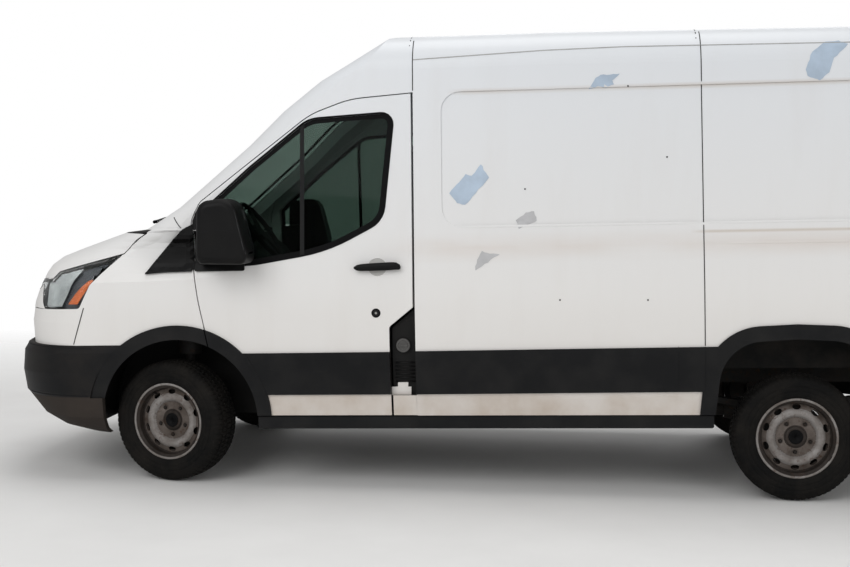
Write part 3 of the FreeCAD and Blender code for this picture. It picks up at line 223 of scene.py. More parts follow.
class Paint:
    """A material of nodes, with short calls for the nodes it needs."""

    def __init__(self, name, colour, roughness, metallic=0.0):
        self.material = bpy.data.materials.new(name)
        self.material.use_nodes = True
        self.tree = self.material.node_tree
        self.shader = self.tree.nodes["Principled BSDF"]
        self.put(self.shader, {"Base Color": colour, "Roughness": roughness, "Metallic": metallic})
        self.place = self.add("ShaderNodeTexCoord").outputs["Object"]

    def put(self, node, values):
        for key, value in values.items():
            if isinstance(value, bpy.types.NodeSocket):
                self.tree.links.new(value, node.inputs[key])
            elif isinstance(value, (tuple, list)) and len(value) == 3 and node.inputs[key].type == "RGBA":
                node.inputs[key].default_value = (*value, 1)
            else:
                node.inputs[key].default_value = value

    def add(self, kind, values=None, **settings):
        node = self.tree.nodes.new(kind)
        for key, value in settings.items():
            setattr(node, key, value)
        self.put(node, values or {})
        return node

    def noise(self, scale, detail=3.0, rough=0.55, stretch=(1, 1, 1), twist=0.0):
        mapping = self.add("ShaderNodeMapping", {"Vector": self.place, "Scale": stretch})
        values = {"Vector": mapping.outputs[0], "Scale": scale, "Detail": detail, "Roughness": rough,
                  "Distortion": twist}
        return self.add("ShaderNodeTexNoise", values).outputs[0]

    def cells(self, scale, feature="F1"):
        values = {"Vector": self.place, "Scale": scale}
        return self.add("ShaderNodeTexVoronoi", values, feature=feature).outputs[0]

    def calc(self, kind, a, b=0.0, c=0.0):
        node = self.add("ShaderNodeMath", {0: a, 1: b, 2: c}, operation=kind)
        return node.outputs[0]

    def times(self, a, b):
        return self.calc("MULTIPLY", a, b)

    def span(self, value, low, high, out_low=0.0, out_high=1.0):
        node = self.add("ShaderNodeMapRange", {0: value, 1: low, 2: high, 3: out_low, 4: out_high})
        return node.outputs[0]

    def mix(self, share, a, b):
        node = self.add("ShaderNodeMix", {0: share, 6: a, 7: b}, data_type="RGBA")
        return node.outputs[2]

    def axis(self, index):
        return self.add("ShaderNodeSeparateXYZ", {0: self.place}).outputs[index]

    def facing(self, index):
        normal = self.add("ShaderNodeNewGeometry").outputs["Normal"]
        return self.add("ShaderNodeSeparateXYZ", {0: normal}).outputs[index]

    def level_height(self):
        """Height in the level drawing of the body, in metres."""
        lean = self.times(self.axis(0), LEAN_SIN / LEAN_COS)
        return self.calc("SUBTRACT", self.calc("SUBTRACT", self.axis(2), lean), LEVEL_ZERO)

    def near(self, value, middle, reach):
        """1 at the middle of a band, falling to 0 at its reach."""
        away = self.calc("ABSOLUTE", self.calc("SUBTRACT", value, middle))
        return self.span(away, 0.0, reach, 1.0, 0.0)

    def bump(self, height, strength, distance):
        values = {"Height": height, "Strength": strength, "Distance": distance}
        node = self.add("ShaderNodeBump", values)
        self.put(self.shader, {"Normal": node.outputs[0]})

    def set(self, **values):
        self.put(self.shader, {key.replace("_", " "): value for key, value in values.items()})
        return self


def white_paint(name="white_paint"):
    """White body paint: dust towards the sills, brown stains at the belt, rain streaks and specks. Painted light:
    a tint that turns cooler and darker towards the roof, and near-black painted shade on the low faces round the
    wheel arches that don't face sideways."""
    p = Paint(name, (0.8, 0.81, 0.81), 0.35)
    height = p.level_height()
    along = p.axis(0)
    # Painted light: from 0.9 m up to 2.2 m the white turns cooler and a little darker. This stands in for blue sky
    # light on the upper body and warm ground bounce lower down, and holds the roof back under its stronger light.
    base = p.mix(p.span(height, 0.9, 2.2), (0.775, 0.76, 0.74), (0.735, 0.757, 0.785))
    low = p.span(height, 0.34, 1.0, 1.0, 0.0)
    blotch = p.span(p.noise(2.3, 5, 0.6), 0.40, 0.72)
    streak = p.span(p.noise(7, 4, 0.6, (1, 1, 0.12)), 0.5, 0.78)
    dust = p.times(p.calc("POWER", low, 1.6), p.calc("MULTIPLY_ADD", blotch, 0.25, 0.16))
    sill = p.times(p.span(height, 0.46, 0.49, 1.0, 0.0), p.calc("MULTIPLY_ADD", blotch, 0.25, 0.22))
    dust = p.calc("ADD", dust, p.calc("MULTIPLY_ADD", streak, 0.05, sill))
    colour = p.mix(dust, base, (0.42, 0.33, 0.25))
    cloud = p.span(p.noise(1.6, 4, 0.6, (0.35, 1, 2.2)), 0.36, 0.62)
    belt = p.times(p.near(height, 1.235, 0.085), p.times(cloud, 0.30))
    belt = p.times(belt, p.span(along, -0.7, -0.3))
    colour = p.mix(belt, colour, (0.55, 0.42, 0.33))
    crease = p.times(p.near(height, 2.046, 0.020), p.calc("MULTIPLY_ADD", cloud, 0.28, 0.16))
    line = p.times(p.near(height, 1.299, 0.011), p.span(along, 1.0, 1.1, 0.0, 0.5))
    crease = p.times(p.calc("MAXIMUM", crease, line), p.span(along, -0.27, -0.17))
    colour = p.mix(crease, colour, (0.44, 0.34, 0.24))
    speck = p.span(p.cells(38), 0.0, 0.055, 1.0, 0.0)
    rare = p.span(p.noise(3.1, 2, 0.5), 0.60, 0.66)
    colour = p.mix(p.times(p.times(speck, rare), 0.55), colour, (0.22, 0.19, 0.16))
    # Painted shade: near black on the white faces below 0.835 m that don't face sideways, away from the body's
    # ends. It stands in for the shade under the body and inside the wheel arches.
    underside_shade = p.calc("LESS_THAN", p.calc("ABSOLUTE", p.facing(1)), 0.5)
    underside_shade = p.times(underside_shade, p.span(height, 0.83, 0.84, 1.0, 0.0))
    underside_shade = p.times(underside_shade, p.calc("LESS_THAN", p.calc("ABSOLUTE", along), 2.25))
    colour = p.mix(underside_shade, colour, (0.02, 0.019, 0.018))
    p.set(Base_Color=colour, Roughness=p.span(dust, 0.0, 0.5, 0.38, 0.65))
    p.set(Coat_Weight=0.12, Coat_Roughness=0.2, Specular_IOR_Level=0.35)
    p.bump(p.noise(2.0, 2, 0.4), 0.10, 0.02)
    return p.material


def black_plastic(name, base=(0.004, 0.004, 0.0045), dusty=(0.034, 0.032, 0.030), dust=0.26, grain=650,
                  lip=0.0):
    """Grained dark plastic with dust on it, most on what faces up and below the lip's height."""
    p = Paint(name, base, 0.6)
    cloud = p.span(p.noise(5.5, 5, 0.6), 0.38, 0.75)
    top = p.span(p.facing(2), 0.35, 0.95)
    share = p.calc("MULTIPLY_ADD", cloud, dust, p.times(top, 0.30))
    scuff = p.span(p.noise(26, 3, 0.7, (0.25, 1, 3)), 0.63, 0.72)
    share = p.calc("ADD", share, p.times(scuff, 0.14))
    if lip:
        share = p.calc("ADD", share, p.span(p.level_height(), 0.455, 0.465, lip, 0.0))
    p.set(Base_Color=p.mix(share, base, dusty), Roughness=p.span(share, 0, 0.8, 0.48, 0.86))
    p.set(Specular_IOR_Level=0.17)
    p.bump(p.noise(grain, 2, 0.5), 0.25, 0.0008)
    return p.material


def glass(name, tint):
    p = Paint(name, tint, 0.02)
    film = p.span(p.noise(3.0, 4, 0.6), 0.45, 0.8, 0.015, 0.07)
    p.set(Roughness=film, Transmission_Weight=1.0, IOR=1.11)
    return p.material


def lens(name, tint, rough=0.04):
    p = Paint(name, tint, rough)
    p.set(Roughness=p.span(p.noise(30, 4, 0.6), 0.4, 0.8, rough, rough + 0.12))
    p.set(Transmission_Weight=1.0, IOR=1.18)
    return p.material


def steel(name, base, dirt, rust, metallic=0.4, amount=0.5):
    """Painted or bare steel with dirt in clouds and rust in spots."""
    p = Paint(name, base, 0.55, metallic)
    cloud = p.span(p.noise(9, 6, 0.65), 0.38, 0.66)
    spot = p.span(p.noise(34, 5, 0.7, twist=0.6), 0.56, 0.68)
    colour = p.mix(p.times(cloud, amount), base, dirt)
    colour = p.mix(p.times(spot, amount), colour, rust)
    p.set(Base_Color=colour, Roughness=p.span(cloud, 0, 1, 0.5, 0.85), Specular_IOR_Level=0.2)
    p.bump(p.noise(160, 3, 0.6), 0.25, 0.001)
    return p.material


def underside(name):
    """Grey inner paint, with dark underseal below the floor and inside the wheelhouses."""
    p = Paint(name, (0.5, 0.5, 0.5), 0.5)
    cloud = p.span(p.noise(6, 5, 0.6), 0.4, 0.72)
    inner = p.mix(p.times(cloud, 0.4), (0.50, 0.51, 0.50), (0.27, 0.25, 0.22))
    seal = p.mix(cloud, (0.010, 0.010, 0.010), (0.030, 0.026, 0.022))
    height = p.level_height()
    out = p.calc("GREATER_THAN", p.calc("ABSOLUTE", p.axis(1)), 0.706)
    low = p.calc("MAXIMUM", p.calc("LESS_THAN", height, 0.578),
                 p.times(out, p.calc("LESS_THAN", height, 0.854)))
    p.set(Base_Color=p.mix(low, inner, seal), Roughness=p.span(low, 0, 1, 0.5, 0.9), Specular_IOR_Level=0.3)
    p.bump(p.noise(120, 3, 0.6), 0.2, 0.001)
    return p.material


def rubber(name="tyre_rubber"):
    p = Paint(name, (0.012, 0.012, 0.012), 0.8)
    cloud = p.span(p.noise(6.5, 6, 0.62), 0.36, 0.72)
    fine = p.span(p.noise(55, 4, 0.7), 0.45, 0.75)
    share = p.calc("MULTIPLY_ADD", cloud, 0.50, p.times(fine, 0.2))
    p.set(Base_Color=p.mix(share, (0.0025, 0.0025, 0.0025), (0.022, 0.019, 0.016)),
          Roughness=p.span(share, 0, 1, 0.72, 0.95), Specular_IOR_Level=0.12)
    p.bump(p.noise(420, 3, 0.6), 0.3, 0.0008)
    return p.material


def cloth(name, base, thread):
    """Woven cloth: two crossed fine waves, a little sheen."""
    p = Paint(name, base, 0.9)
    waves = []
    for direction in ("X", "Z"):
        node = p.add("ShaderNodeTexWave", {"Vector": p.place, "Scale": 190.0, "Distortion": 0.4},
                     bands_direction=direction)
        waves.append(node.outputs["Fac"])
    weave = p.times(waves[0], waves[1])
    worn = p.span(p.noise(8, 4, 0.6), 0.4, 0.7)
    colour = p.mix(weave, base, thread)
    p.set(Base_Color=p.mix(p.times(worn, 0.25), colour, (0.10, 0.095, 0.09)), Sheen_Weight=0.2)
    p.bump(weave, 0.5, 0.0015)
    return p.material


def plain(name, colour, roughness, metallic=0.0, scale=40.0, change=0.25, shine=0.5):
    """A small piece's finish: one colour that varies a little, with a fine grain."""
    p = Paint(name, colour, roughness, metallic)
    dark = tuple(c * (1 - change) for c in colour)
    p.set(Base_Color=p.mix(p.span(p.noise(scale, 4, 0.6), 0.35, 0.7), dark, colour), Specular_IOR_Level=shine)
    p.bump(p.noise(scale * 8, 2, 0.5), 0.12, 0.0006)
    return p.material


WHITE = white_paint()
BLACK = black_plastic("black_plastic")
BUMPER = black_plastic("bumper_plastic", (0.005, 0.0053, 0.006), (0.046, 0.037, 0.031), 0.26, lip=0.65)
CLADDING = black_plastic("cladding_plastic", (0.005, 0.0053, 0.006), (0.034, 0.032, 0.030), 0.28)
MIRROR_SHELL = black_plastic("mirror_plastic", (0.002, 0.002, 0.0022), (0.018, 0.017, 0.016), 0.2, 900)
# Painted shade: the niche plastic's dusty tone is darker than the other black plastics'. This makes the recessed
# filler housing read as in shade, on top of its own black. The firewall uses it too.
NICHE = black_plastic("niche_plastic", (0.005, 0.005, 0.005), (0.022, 0.020, 0.018), 0.35)
GLASS = glass("window_glass", (0.15, 0.20, 0.175))
SCREEN_GLASS = glass("windscreen_glass", (0.42, 0.49, 0.46))
LAMP_CLEAR = lens("lamp_clear", (0.95, 0.96, 0.96))
LAMP_RED = lens("lamp_red", (0.55, 0.015, 0.012))
INNER = underside("inner_paint")
FRAME_STEEL = steel("frame_steel", (0.016, 0.0155, 0.015), (0.045, 0.04, 0.035), (0.06, 0.03, 0.015), 0.1,
                    0.8)
IRON = steel("engine_iron", (0.045, 0.045, 0.045), (0.02, 0.019, 0.018), (0.10, 0.06, 0.035), 0.5, 0.7)
ALLOY = steel("radiator_alloy", (0.38, 0.38, 0.39), (0.2, 0.19, 0.18), (0.25, 0.2, 0.15), 0.7, 0.5)
EXHAUST = steel("exhaust_steel", (0.22, 0.20, 0.18), (0.09, 0.08, 0.07), (0.16, 0.08, 0.04), 0.7, 0.8)
TANK = black_plastic("tank_plastic", (0.012, 0.012, 0.0125), (0.05, 0.045, 0.04), 0.4)
WHEEL = steel("wheel_steel", (0.125, 0.105, 0.093), (0.05, 0.038, 0.030), (0.05, 0.026, 0.014), 0.2, 0.85)
# Lighter and darker copies of the wheel steel. The lighter one is a painted highlight on the disc's raised ring
# and the rim's outer lip. The darker one is painted shade in the rim's well, on the barrel, and in the dished
# centre round the hub.
WHEEL_HIGHLIGHT = steel("wheel_highlight", (0.27, 0.255, 0.245), (0.11, 0.088, 0.072), (0.08, 0.045, 0.028), 0.25, 0.75)
WHEEL_SHADE = steel("wheel_shade", (0.035, 0.028, 0.024), (0.014, 0.011, 0.009), (0.03, 0.015, 0.008), 0.1, 0.9)
NUT = steel("wheel_nut", (0.022, 0.018, 0.016), (0.02, 0.017, 0.015), (0.05, 0.025, 0.013), 0.2, 0.9)
BRAKE = steel("brake_iron", (0.018, 0.017, 0.016), (0.012, 0.011, 0.01), (0.04, 0.02, 0.01), 0.1, 0.8)
RUBBER = rubber()
DASH = black_plastic("dash_plastic", (0.020, 0.021, 0.023), (0.06, 0.058, 0.055), 0.2, 500)
SEAT = cloth("seat_cloth", (0.014, 0.0145, 0.018), (0.045, 0.047, 0.055))
GAP = plain("panel_gap", (0.015, 0.015, 0.016), 0.8, shine=0.1)
EDGE_RUBBER = plain("edge_rubber", (0.003, 0.003, 0.0035), 0.6, shine=0.1)
FILM_BLUE = plain("torn_film_blue", (0.46, 0.56, 0.68), 0.45, scale=9, change=0.18)
FILM_GREY = plain("torn_film_grey", (0.53, 0.53, 0.54), 0.5, scale=9, change=0.2)
REFLECTOR = plain("reflector", (0.46, 0.49, 0.49), 0.32, 0.45, 12, 0.35)
BOWL = plain("lamp_bowl", (0.80, 0.82, 0.82), 0.12, 0.9, 25, 0.1)
AMBER = plain("amber_marker", (0.62, 0.13, 0.02), 0.35, scale=60)
LAMP_DARK = plain("lamp_housing", (0.040, 0.046, 0.055), 0.4)
MIRROR_GLASS = plain("mirror_glass", (0.75, 0.77, 0.78), 0.03, 1.0, 4, 0.06)
PLATE = plain("bare_plate", (0.62, 0.62, 0.60), 0.45, 0.2, 12, 0.15)
GREY_CAP = plain("filler_cap", (0.085, 0.082, 0.078), 0.6, scale=30)
# Grey of the handle cups: painted shade of the shallow hollow behind each pull, laid flat on the white door skin.
CUP_SHADE = plain("shaded_handle_cup", (0.50, 0.49, 0.47), 0.4, scale=10, change=0.15)
SEALER = plain("joint_sealer", (0.40, 0.40, 0.39), 0.6, scale=20)
METAL = plain("lock_metal", (0.55, 0.54, 0.52), 0.3, 0.8, 60, 0.2)

FINISH = {
    "window_glass": GLASS, "black_plastic": BLACK, "lamp_clear": LAMP_CLEAR, "lamp_red": LAMP_RED,
    "white_paint": WHITE, "body_paint_inner": INNER, "frame_steel": FRAME_STEEL, "engine_iron": IRON,
    "radiator_alloy": ALLOY, "exhaust_steel": EXHAUST, "tank_plastic": TANK, "tyre": RUBBER,
    "wheel_steel": WHEEL, "dash_plastic": DASH, "seat_fabric": SEAT,
}
OWN_FINISH = {"bumper_skirt": BUMPER, "side_cladding": CLADDING, "door_cladding_left": CLADDING,
              "door_cladding_right": CLADDING, "mirror_left": MIRROR_SHELL, "mirror_right": MIRROR_SHELL,
              "rear_bumper": CLADDING, "fuel_filler": NICHE, "windscreen": SCREEN_GLASS, "firewall": NICHE,
              "knuckle_left": BRAKE, "knuckle_right": BRAKE}
for part in frame["record"]["subparts"]:
    node = NODES[part["node"]]
    material = OWN_FINISH.get(part["node"], FINISH[part["material_slot"]])
    for place in node.material_slots:
        place.material = material


# Making pieces


def piece(name, points, faces, material, body, smooth=False):
    mesh = bpy.data.meshes.new(name)
    mesh.from_pydata([tuple(p) for p in points], [], faces)
    mesh.validate()
    mesh.polygons.foreach_set("use_smooth", [smooth] * len(mesh.polygons))
    mesh.materials.append(material)
    obj = bpy.data.objects.new(name, mesh)
    bpy.context.scene.collection.objects.link(obj)
    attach(obj, body)
    return obj


class Build:
    """Points and faces of several shapes that end up in one piece."""

    def __init__(self):
        self.points = []
        self.faces = []

    def add(self, points, faces):
        start = len(self.points)
        self.points += [Vector(p) for p in points]
        self.faces += [[start + i for i in face] for face in faces]

    def add_met(self, points, faces):
        """The same for points of casts, without the faces that have a point missing."""
        self.add([p or Vector() for p in points], [f for f in faces if all(points[i] is not None for i in f)])

    def strip(self, points, normals, width, thick=0.0008):
        """Flat band along points, raised off the skin with edges that reach back to it."""
        count = len(points)
        rows = []
        for i in range(count):
            ahead = points[min(i + 1, count - 1)] - points[max(i - 1, 0)]
            across = normals[i].cross(ahead).normalized() * width / 2
            down = normals[i] * (thick + 0.001)
            rows.append([points[i] - across - down, points[i] - across, points[i] + across,
                         points[i] + across - down])
        self.add([p for row in rows for p in row], grid_faces(count, 4))

    def tube(self, points, radius, sides=10, closed=False):
        count = len(points)
        flat = []
        side_way = None
        for i, p in enumerate(points):
            if closed:
                ahead = (points[(i + 1) % count] - points[i - 1]).normalized()
            else:
                ahead = (points[min(i + 1, count - 1)] - points[max(i - 1, 0)]).normalized()
            if side_way is None:
                side_way = ahead.orthogonal().normalized()
            side_way = (side_way - ahead * side_way.dot(ahead)).normalized()
            other = ahead.cross(side_way)
            size = radius[i] if isinstance(radius, (list, tuple)) else radius
            for k in range(sides):
                a = 2 * math.pi * k / sides
                flat.append(p + side_way * math.cos(a) * size + other * math.sin(a) * size)
        faces = grid_faces(count, sides, wrap_rows=closed, wrap_columns=True)
        if not closed:
            faces.append(list(range(sides))[::-1])
            faces.append([(count - 1) * sides + k for k in range(sides)])
        self.add(flat, faces)

    def slab(self, outline, direction, thickness):
        """Plate with an outline of points and a thickness along a direction."""
        count = len(outline)
        move = Vector(direction).normalized() * thickness
        flat = [Vector(p) for p in outline] + [Vector(p) + move for p in outline]
        faces = [list(range(count))[::-1], list(range(count, 2 * count))]
        for i in range(count):
            j = (i + 1) % count
            faces.append([i, j, count + j, count + i])
        self.add(flat, faces)

    def lathe(self, profile, place, steps=48, closed=True):
        """Ring turned about a place's Y axis from (y, radius) in mm."""
        flat = []
        for s in range(steps):
            a = 2 * math.pi * s / steps
            for y, r in profile:
                flat.append(place @ Vector((r * math.cos(a) / 1000, y / 1000, r * math.sin(a) / 1000)))
        self.add(flat, grid_faces(steps, len(profile), wrap_rows=True, wrap_columns=closed))

    def finish(self, name, material, body, smooth=False, bevel=0.0):
        obj = piece(name, self.points, self.faces, material, body, smooth)
        if bevel:
            rounding = obj.modifiers.new("edges", "BEVEL")
            rounding.width = bevel
            rounding.segments = 2
            rounding.limit_method = "ANGLE"
        return obj


def turned(name, profile, place, steps, material, body, smooth=True):
    """Piece turned about a place's Y axis."""
    build = Build()
    build.lathe(profile, place, steps)
    return build.finish(name, material, body, smooth)


def thickened(obj, thickness, offset=-1):
    modifier = obj.modifiers.new("thickness", "SOLIDIFY")
    modifier.thickness = thickness
    modifier.offset = offset


def sail_thickened(obj, sign):
    """Thickness of a sail, put on the side of its face that keeps the outside where it is."""
    thickened(obj, 0.003, -1 if obj.data.polygons[0].normal.y * sign > 0 else 1)


def band(build, casts, width):
    """Band along the casts that met the skin."""
    points, normals = met(casts)
    if len(points) > 1:
        build.strip(points, normals, width)


def lay(build, tree, runs, sign, width, lift=0.0016, step=22):
    """Bands along runs of level (x, z) points on a body side."""
    for run in runs:
        band(build, [side_point(tree, x, z, sign, lift) for x, z in divided(run, step)], width)


def ridge(build, tree, run, sign, width, height):
    """Low rounded crease along a body side, its ends drawn out to nothing."""
    line = divided(run, 40)
    flat = []
    for i, (x, z) in enumerate(line):
        point, normal = side_point(tree, x, z, sign, 0.0)
        swell = min(1, i / 4, (len(line) - 1 - i) / 4)
        for across, share in ((-0.5, -0.15), (-0.2, 0.7), (0.05, 1.0), (0.5, -0.15)):
            flat.append(point + Vector((0, 0, across * width)) + normal * (height * share * swell + 0.0002))
    build.add(flat, grid_faces(len(line), 4, flip=True))


def skin_patch(build, tree, outline, sign, lift, step=18):
    """Patch laid on the skin over an outline of level points, seen from the side."""
    ring = [Vector(p) for p in divided(outline + outline[:1], step)[:-1]]
    flat, faces = filled(ring, spread(ring, step, 5), 0.5)
    build.add_met([side_point(tree, p.x, p.y, sign, lift)[0] for p in flat], faces)


# Panel seams of the body sides

SIDE_SKIN = {
    -1: skin("side_left", "roof", "cab_roof", "front_fenders", "bumper_cover", "side_cladding", "bonnet"),
    1: skin("side_right", "roof", "cab_roof", "front_fenders", "bumper_cover", "side_cladding",
            "sliding_door", "bonnet")}
SEAM_WIDTH = 0.0045
ROOF_SEAM = [(1347, 2222), (2028, 2250), (2447, 2256), (3575, 2242), (4372, 2226)]
BODY_SEAMS = [[(1345, 2060), (1345, 2330)], [(2833, 716), (2833, 2330)],
              [(-446, 945), (-478, 844), (-508, 748)], [(44, 1420), (94, 1363)]]
SILL_SEAMS = [[(2833, 478), (2833, 712)], [(2700, 478), (2700, 712)]]
CREASES = [[(2850, 1236), (4225, 1236)], [(1560, 1341), (2822, 1341)], [(2844, 1341), (4200, 1341)]]
for side, sign in SIDES:
    seams = Build()
    lay(seams, SIDE_SKIN[sign], BODY_SEAMS, sign, SEAM_WIDTH)
    lay(seams, SIDE_SKIN[sign], SILL_SEAMS, sign, 0.003)
    seams.finish("seams_" + side, GAP, "body")
    joint = Build()
    lay(joint, SIDE_SKIN[sign], [ROOF_SEAM], sign, 0.005)
    joint.finish("roof_joint_" + side, SEALER, "body")
    creases = Build()
    for run in CREASES:
        ridge(creases, SIDE_SKIN[sign], run, sign, 0.016, 0.0022)
    creases.finish("creases_" + side, WHITE, "body", smooth=True)

roof_skin = skin("roof", "cab_roof")
roof_lines = Build()
for x in (1345, 2833):
    band(roof_lines, [top_point(roof_skin, x, -850 + 1700 * i / 40, 0.001) for i in range(41)], SEAM_WIDTH)
roof_lines.finish("roof_seams", GAP, "body")


def rib_profile(tree, x_from, x_to, y, width, height):
    """Pressed rib along the roof: a raised, rounded band with tapered ends."""
    flat = []
    rows = 0
    for i in range(61):
        t = i / 60
        x = x_from + (x_to - x_from) * t
        swell = min(1, t / 0.03, (1 - t) / 0.03)
        row = []
        for k in range(9):
            across = -1 + 2 * k / 8
            point, normal = top_point(tree, x, y + across * width / 2 * max(swell, 0.2), 0.0)
            if point is None:
                break
            rise = (0.5 + 0.5 * math.cos(math.pi * across)) * height * swell / 1000 + 0.0002
            row.append(point + normal * rise)
        if len(row) == 9:
            flat += row
            rows += 1
    return flat, grid_faces(rows, 9, flip=True)


ribs = Build()
for x_from, x_to in ((1450, 2760), (2900, 4280)):
    for y in (-480, -240, 0, 240, 480):
        ribs.add(*rib_profile(roof_skin, x_from, x_to, y, 70, 8))
ribs.finish("roof_ribs", WHITE, "body", smooth=True)

# Torn film left on the side, and pinholes

FILM_PATCHES = [
    [(449, 193), (457, 203), (465, 205), (478, 190), (489, 178), (484, 170), (481, 164), (472, 176),
     (466, 174)],
    [(516, 220), (526, 213), (534, 211), (537, 221), (528, 225), (519, 229)],
    [(475, 270), (477, 260), (482, 251), (490, 254), (500, 254), (488, 262)],
    [(589, 89), (596, 78), (600, 75), (620, 74), (612, 80), (614, 84), (606, 88), (598, 86)],
    [(806, 70), (808, 76), (812, 78), (820, 80), (829, 72), (834, 58), (848, 44), (838, 41), (825, 42),
     (812, 52)],
]
side_skin_left = skin("side_left", "roof")


def film_patch(number, outline):
    """Thin film on the skin under an outline of pixels."""
    rng = random.Random(number)
    ring = [Vector(p) + Vector((rng.uniform(-0.5, 0.5), rng.uniform(-0.5, 0.5)))
            for p in divided(outline + outline[:1], 4)[:-1]]
    flat, faces = filled(ring, spread(ring, 5, 0), 0.05)
    points = [seen_point(side_skin_left, p.x, p.y, 0.0009)[0] for p in flat]
    tone = FILM_GREY if number in (1, 2) else FILM_BLUE
    thickened(piece("film_patch_%d" % number, points, faces, tone, "body"), 0.0005)


for number, outline in enumerate(FILM_PATCHES):
    film_patch(number, outline)

holes = Build()
for u, v in ((628, 86), (525, 189), (667, 157), (560, 300), (648, 300)):
    point, normal = seen_point(side_skin_left, u, v, 0.0008)
    side_way = normal.orthogonal().normalized()
    other = normal.cross(side_way)
    ring = [point + (side_way * math.cos(a) + other * math.sin(a)) * 0.0045
            for a in (2 * math.pi * k / 12 for k in range(12))]
    holes.slab(ring, normal, 0.0006)
holes.finish("pinholes", GAP, "body")

# Wheels: tyres with tread, pressed discs with a painted highlight on their raised parts and painted shade in their
# hollows, drums, nuts and valves, placed by the wheel joints


def hub_place(wheel):
    """Frame at a wheel's centre: Y outboard along its axle, Z up."""
    joint = next(j for j in frame["joints"] if j["child"] == wheel)
    axis = Vector(joint["axis"]).normalized()
    outboard = -axis if "left" in wheel else axis
    up = Vector((0, 0, 1))
    along = outboard.cross(up).normalized()
    return frame_at(Vector(joint["pos_m"]), along, outboard, up)


TYRE_STEPS = 288
BLOCK = 4             # steps in one tread block


def tyre_profile():
    """Half outline of the tyre from the bead to the crown: y, radius, and kind of surface, which is 0 for
    the sidewall, 1 for the shoulder, 2 for a tread block and 3 for the floor of a groove."""
    rows = [(86, 193, 0), (89, 203, 0), (93, 210, 0), (97, 214, 0), (101, 221, 0), (104.5, 232, 0)]
    rows += [(105.3, 238, 0), (105.0, 242, 0), (104.2, 243.5, 0), (105.4, 245, 0), (106.4, 252, 0)]
    rows += [(106.8, 262, 0), (106.4, 268, 0), (105.2, 269.5, 0), (106.2, 271, 0), (106.0, 280, 0)]
    rows += [(105.2, 288, 0), (103.8, 294, 0), (102.9, 295.5, 0), (103.6, 297, 1), (101.0, 304, 1)]
    rows += [(96, 311, 1), (90, 316.5, 1), (82, 320.5, 1), (74, 322.8, 2), (67, 324, 2)]
    rows += [(66, 317.5, 3), (57, 317.5, 3), (56, 325, 2), (44, 326, 2), (30, 326.6, 2)]
    rows += [(29, 319.5, 3), (20, 319.5, 3), (19, 326.8, 2), (8, 327, 2)]
    return rows


def tyre(place):
    half = tyre_profile()
    rows = [(y, r, kind) for y, r, kind in half] + [(-y, r, kind) for y, r, kind in reversed(half)]
    flat = []
    for s in range(TYRE_STEPS):
        angle = 2 * math.pi * s / TYRE_STEPS
        for y, r, kind in rows:
            shift = 2 if (abs(y) < 56 and abs(y) > 28) else 0
            phase = (s + shift) % BLOCK
            if kind == 1 and (s % BLOCK) == 0:
                r -= 3.0 if abs(y) < 100 else 1.2
                y = y * 0.985
            if kind == 2 and phase == 0:
                r -= 6.0
            flat.append(place @ Vector((r * math.cos(angle) / 1000, y / 1000, r * math.sin(angle) / 1000)))
    return flat, grid_faces(TYRE_STEPS, len(rows), wrap_rows=True, wrap_columns=True)


# Rings turned about the axle: y, radius
BARREL = [(93, 199), (95, 201), (95, 205), (93, 207.4), (90, 207.6), (88, 205), (87, 200), (85, 192),
          (80, 190), (45, 188), (32, 172), (-40, 172), (-52, 188), (-80, 190), (-87, 200), (-90, 207),
          (-95, 206), (-95, 200), (-90, 183), (-55, 180), (-42, 164), (34, 164), (48, 180), (82, 182),
          (88, 190), (91, 197)]
LIP = [(91.5, 195), (94.8, 197.5), (96.0, 203), (94, 207.8), (91, 208), (91.8, 201)]
DRUM = [(22, 60), (22, 150), (17, 160), (-33, 161), (-33, 60)]
HUB = [(30, 33), (44, 33), (46, 36), (46.5, 49), (44, 53), (36, 54)]
BORE = [(44, 0.5), (44, 37), (49, 37), (50, 33), (48, 28), (47, 0.5)]
NUT_SHAPE = [(24, 1), (24, 9.5), (43, 9.5), (46, 7), (46.5, 1)]
VALVE = [(38, 1), (38, 5.5), (50, 4.2), (66, 4.0), (67, 1)]
# Outer face of the wheel disc: radius, distance outboard of the wheel's middle
DISC = [(33, 39), (54, 39), (60, 38), (96, 38), (101, 39), (105, 44), (110, 52), (116, 57), (124, 59),
        (132, 59), (139, 57.5), (144, 54), (149, 49.5), (155, 47.5), (166, 46.5), (174, 45), (181, 41),
        (184, 40)]
VENTS = 10
VENT_RADIUS = 159
VENT_HALF_LENGTH = 21.5
VENT_HALF_WIDTH = 14.5


def disc_offset(radius):
    return float(np.interp(radius, [r for r, y in DISC], [y for r, y in DISC]))


def circle(radius, count, centre=(0.0, 0.0), turn=0.0):
    return [Vector((centre[0] + radius * math.cos(turn + 2 * math.pi * k / count),
                    centre[1] + radius * math.sin(turn + 2 * math.pi * k / count))) for k in range(count)]


NUT_CENTRES = circle(80, 5, turn=math.pi / 2 + math.pi / 5)


def vent_outline(index):
    """Oval vent hole: longer along the circle than across it."""
    turn = 2 * math.pi * index / VENTS + math.pi / 2
    ring = []
    for k in range(24):
        a = 2 * math.pi * k / 24
        along = VENT_HALF_LENGTH * math.cos(a)
        r = VENT_RADIUS + VENT_HALF_WIDTH * math.sin(a)
        angle = turn + along / VENT_RADIUS
        ring.append(Vector((r * math.cos(angle), r * math.sin(angle))))
    return ring


def inside(point, ring):
    found = False
    for a, b in zip(ring, ring[1:] + ring[:1]):
        if (a.y > point.y) != (b.y > point.y):
            if point.x < (b.x - a.x) * (point.y - a.y) / (b.y - a.y) + a.x:
                found = not found
    return found


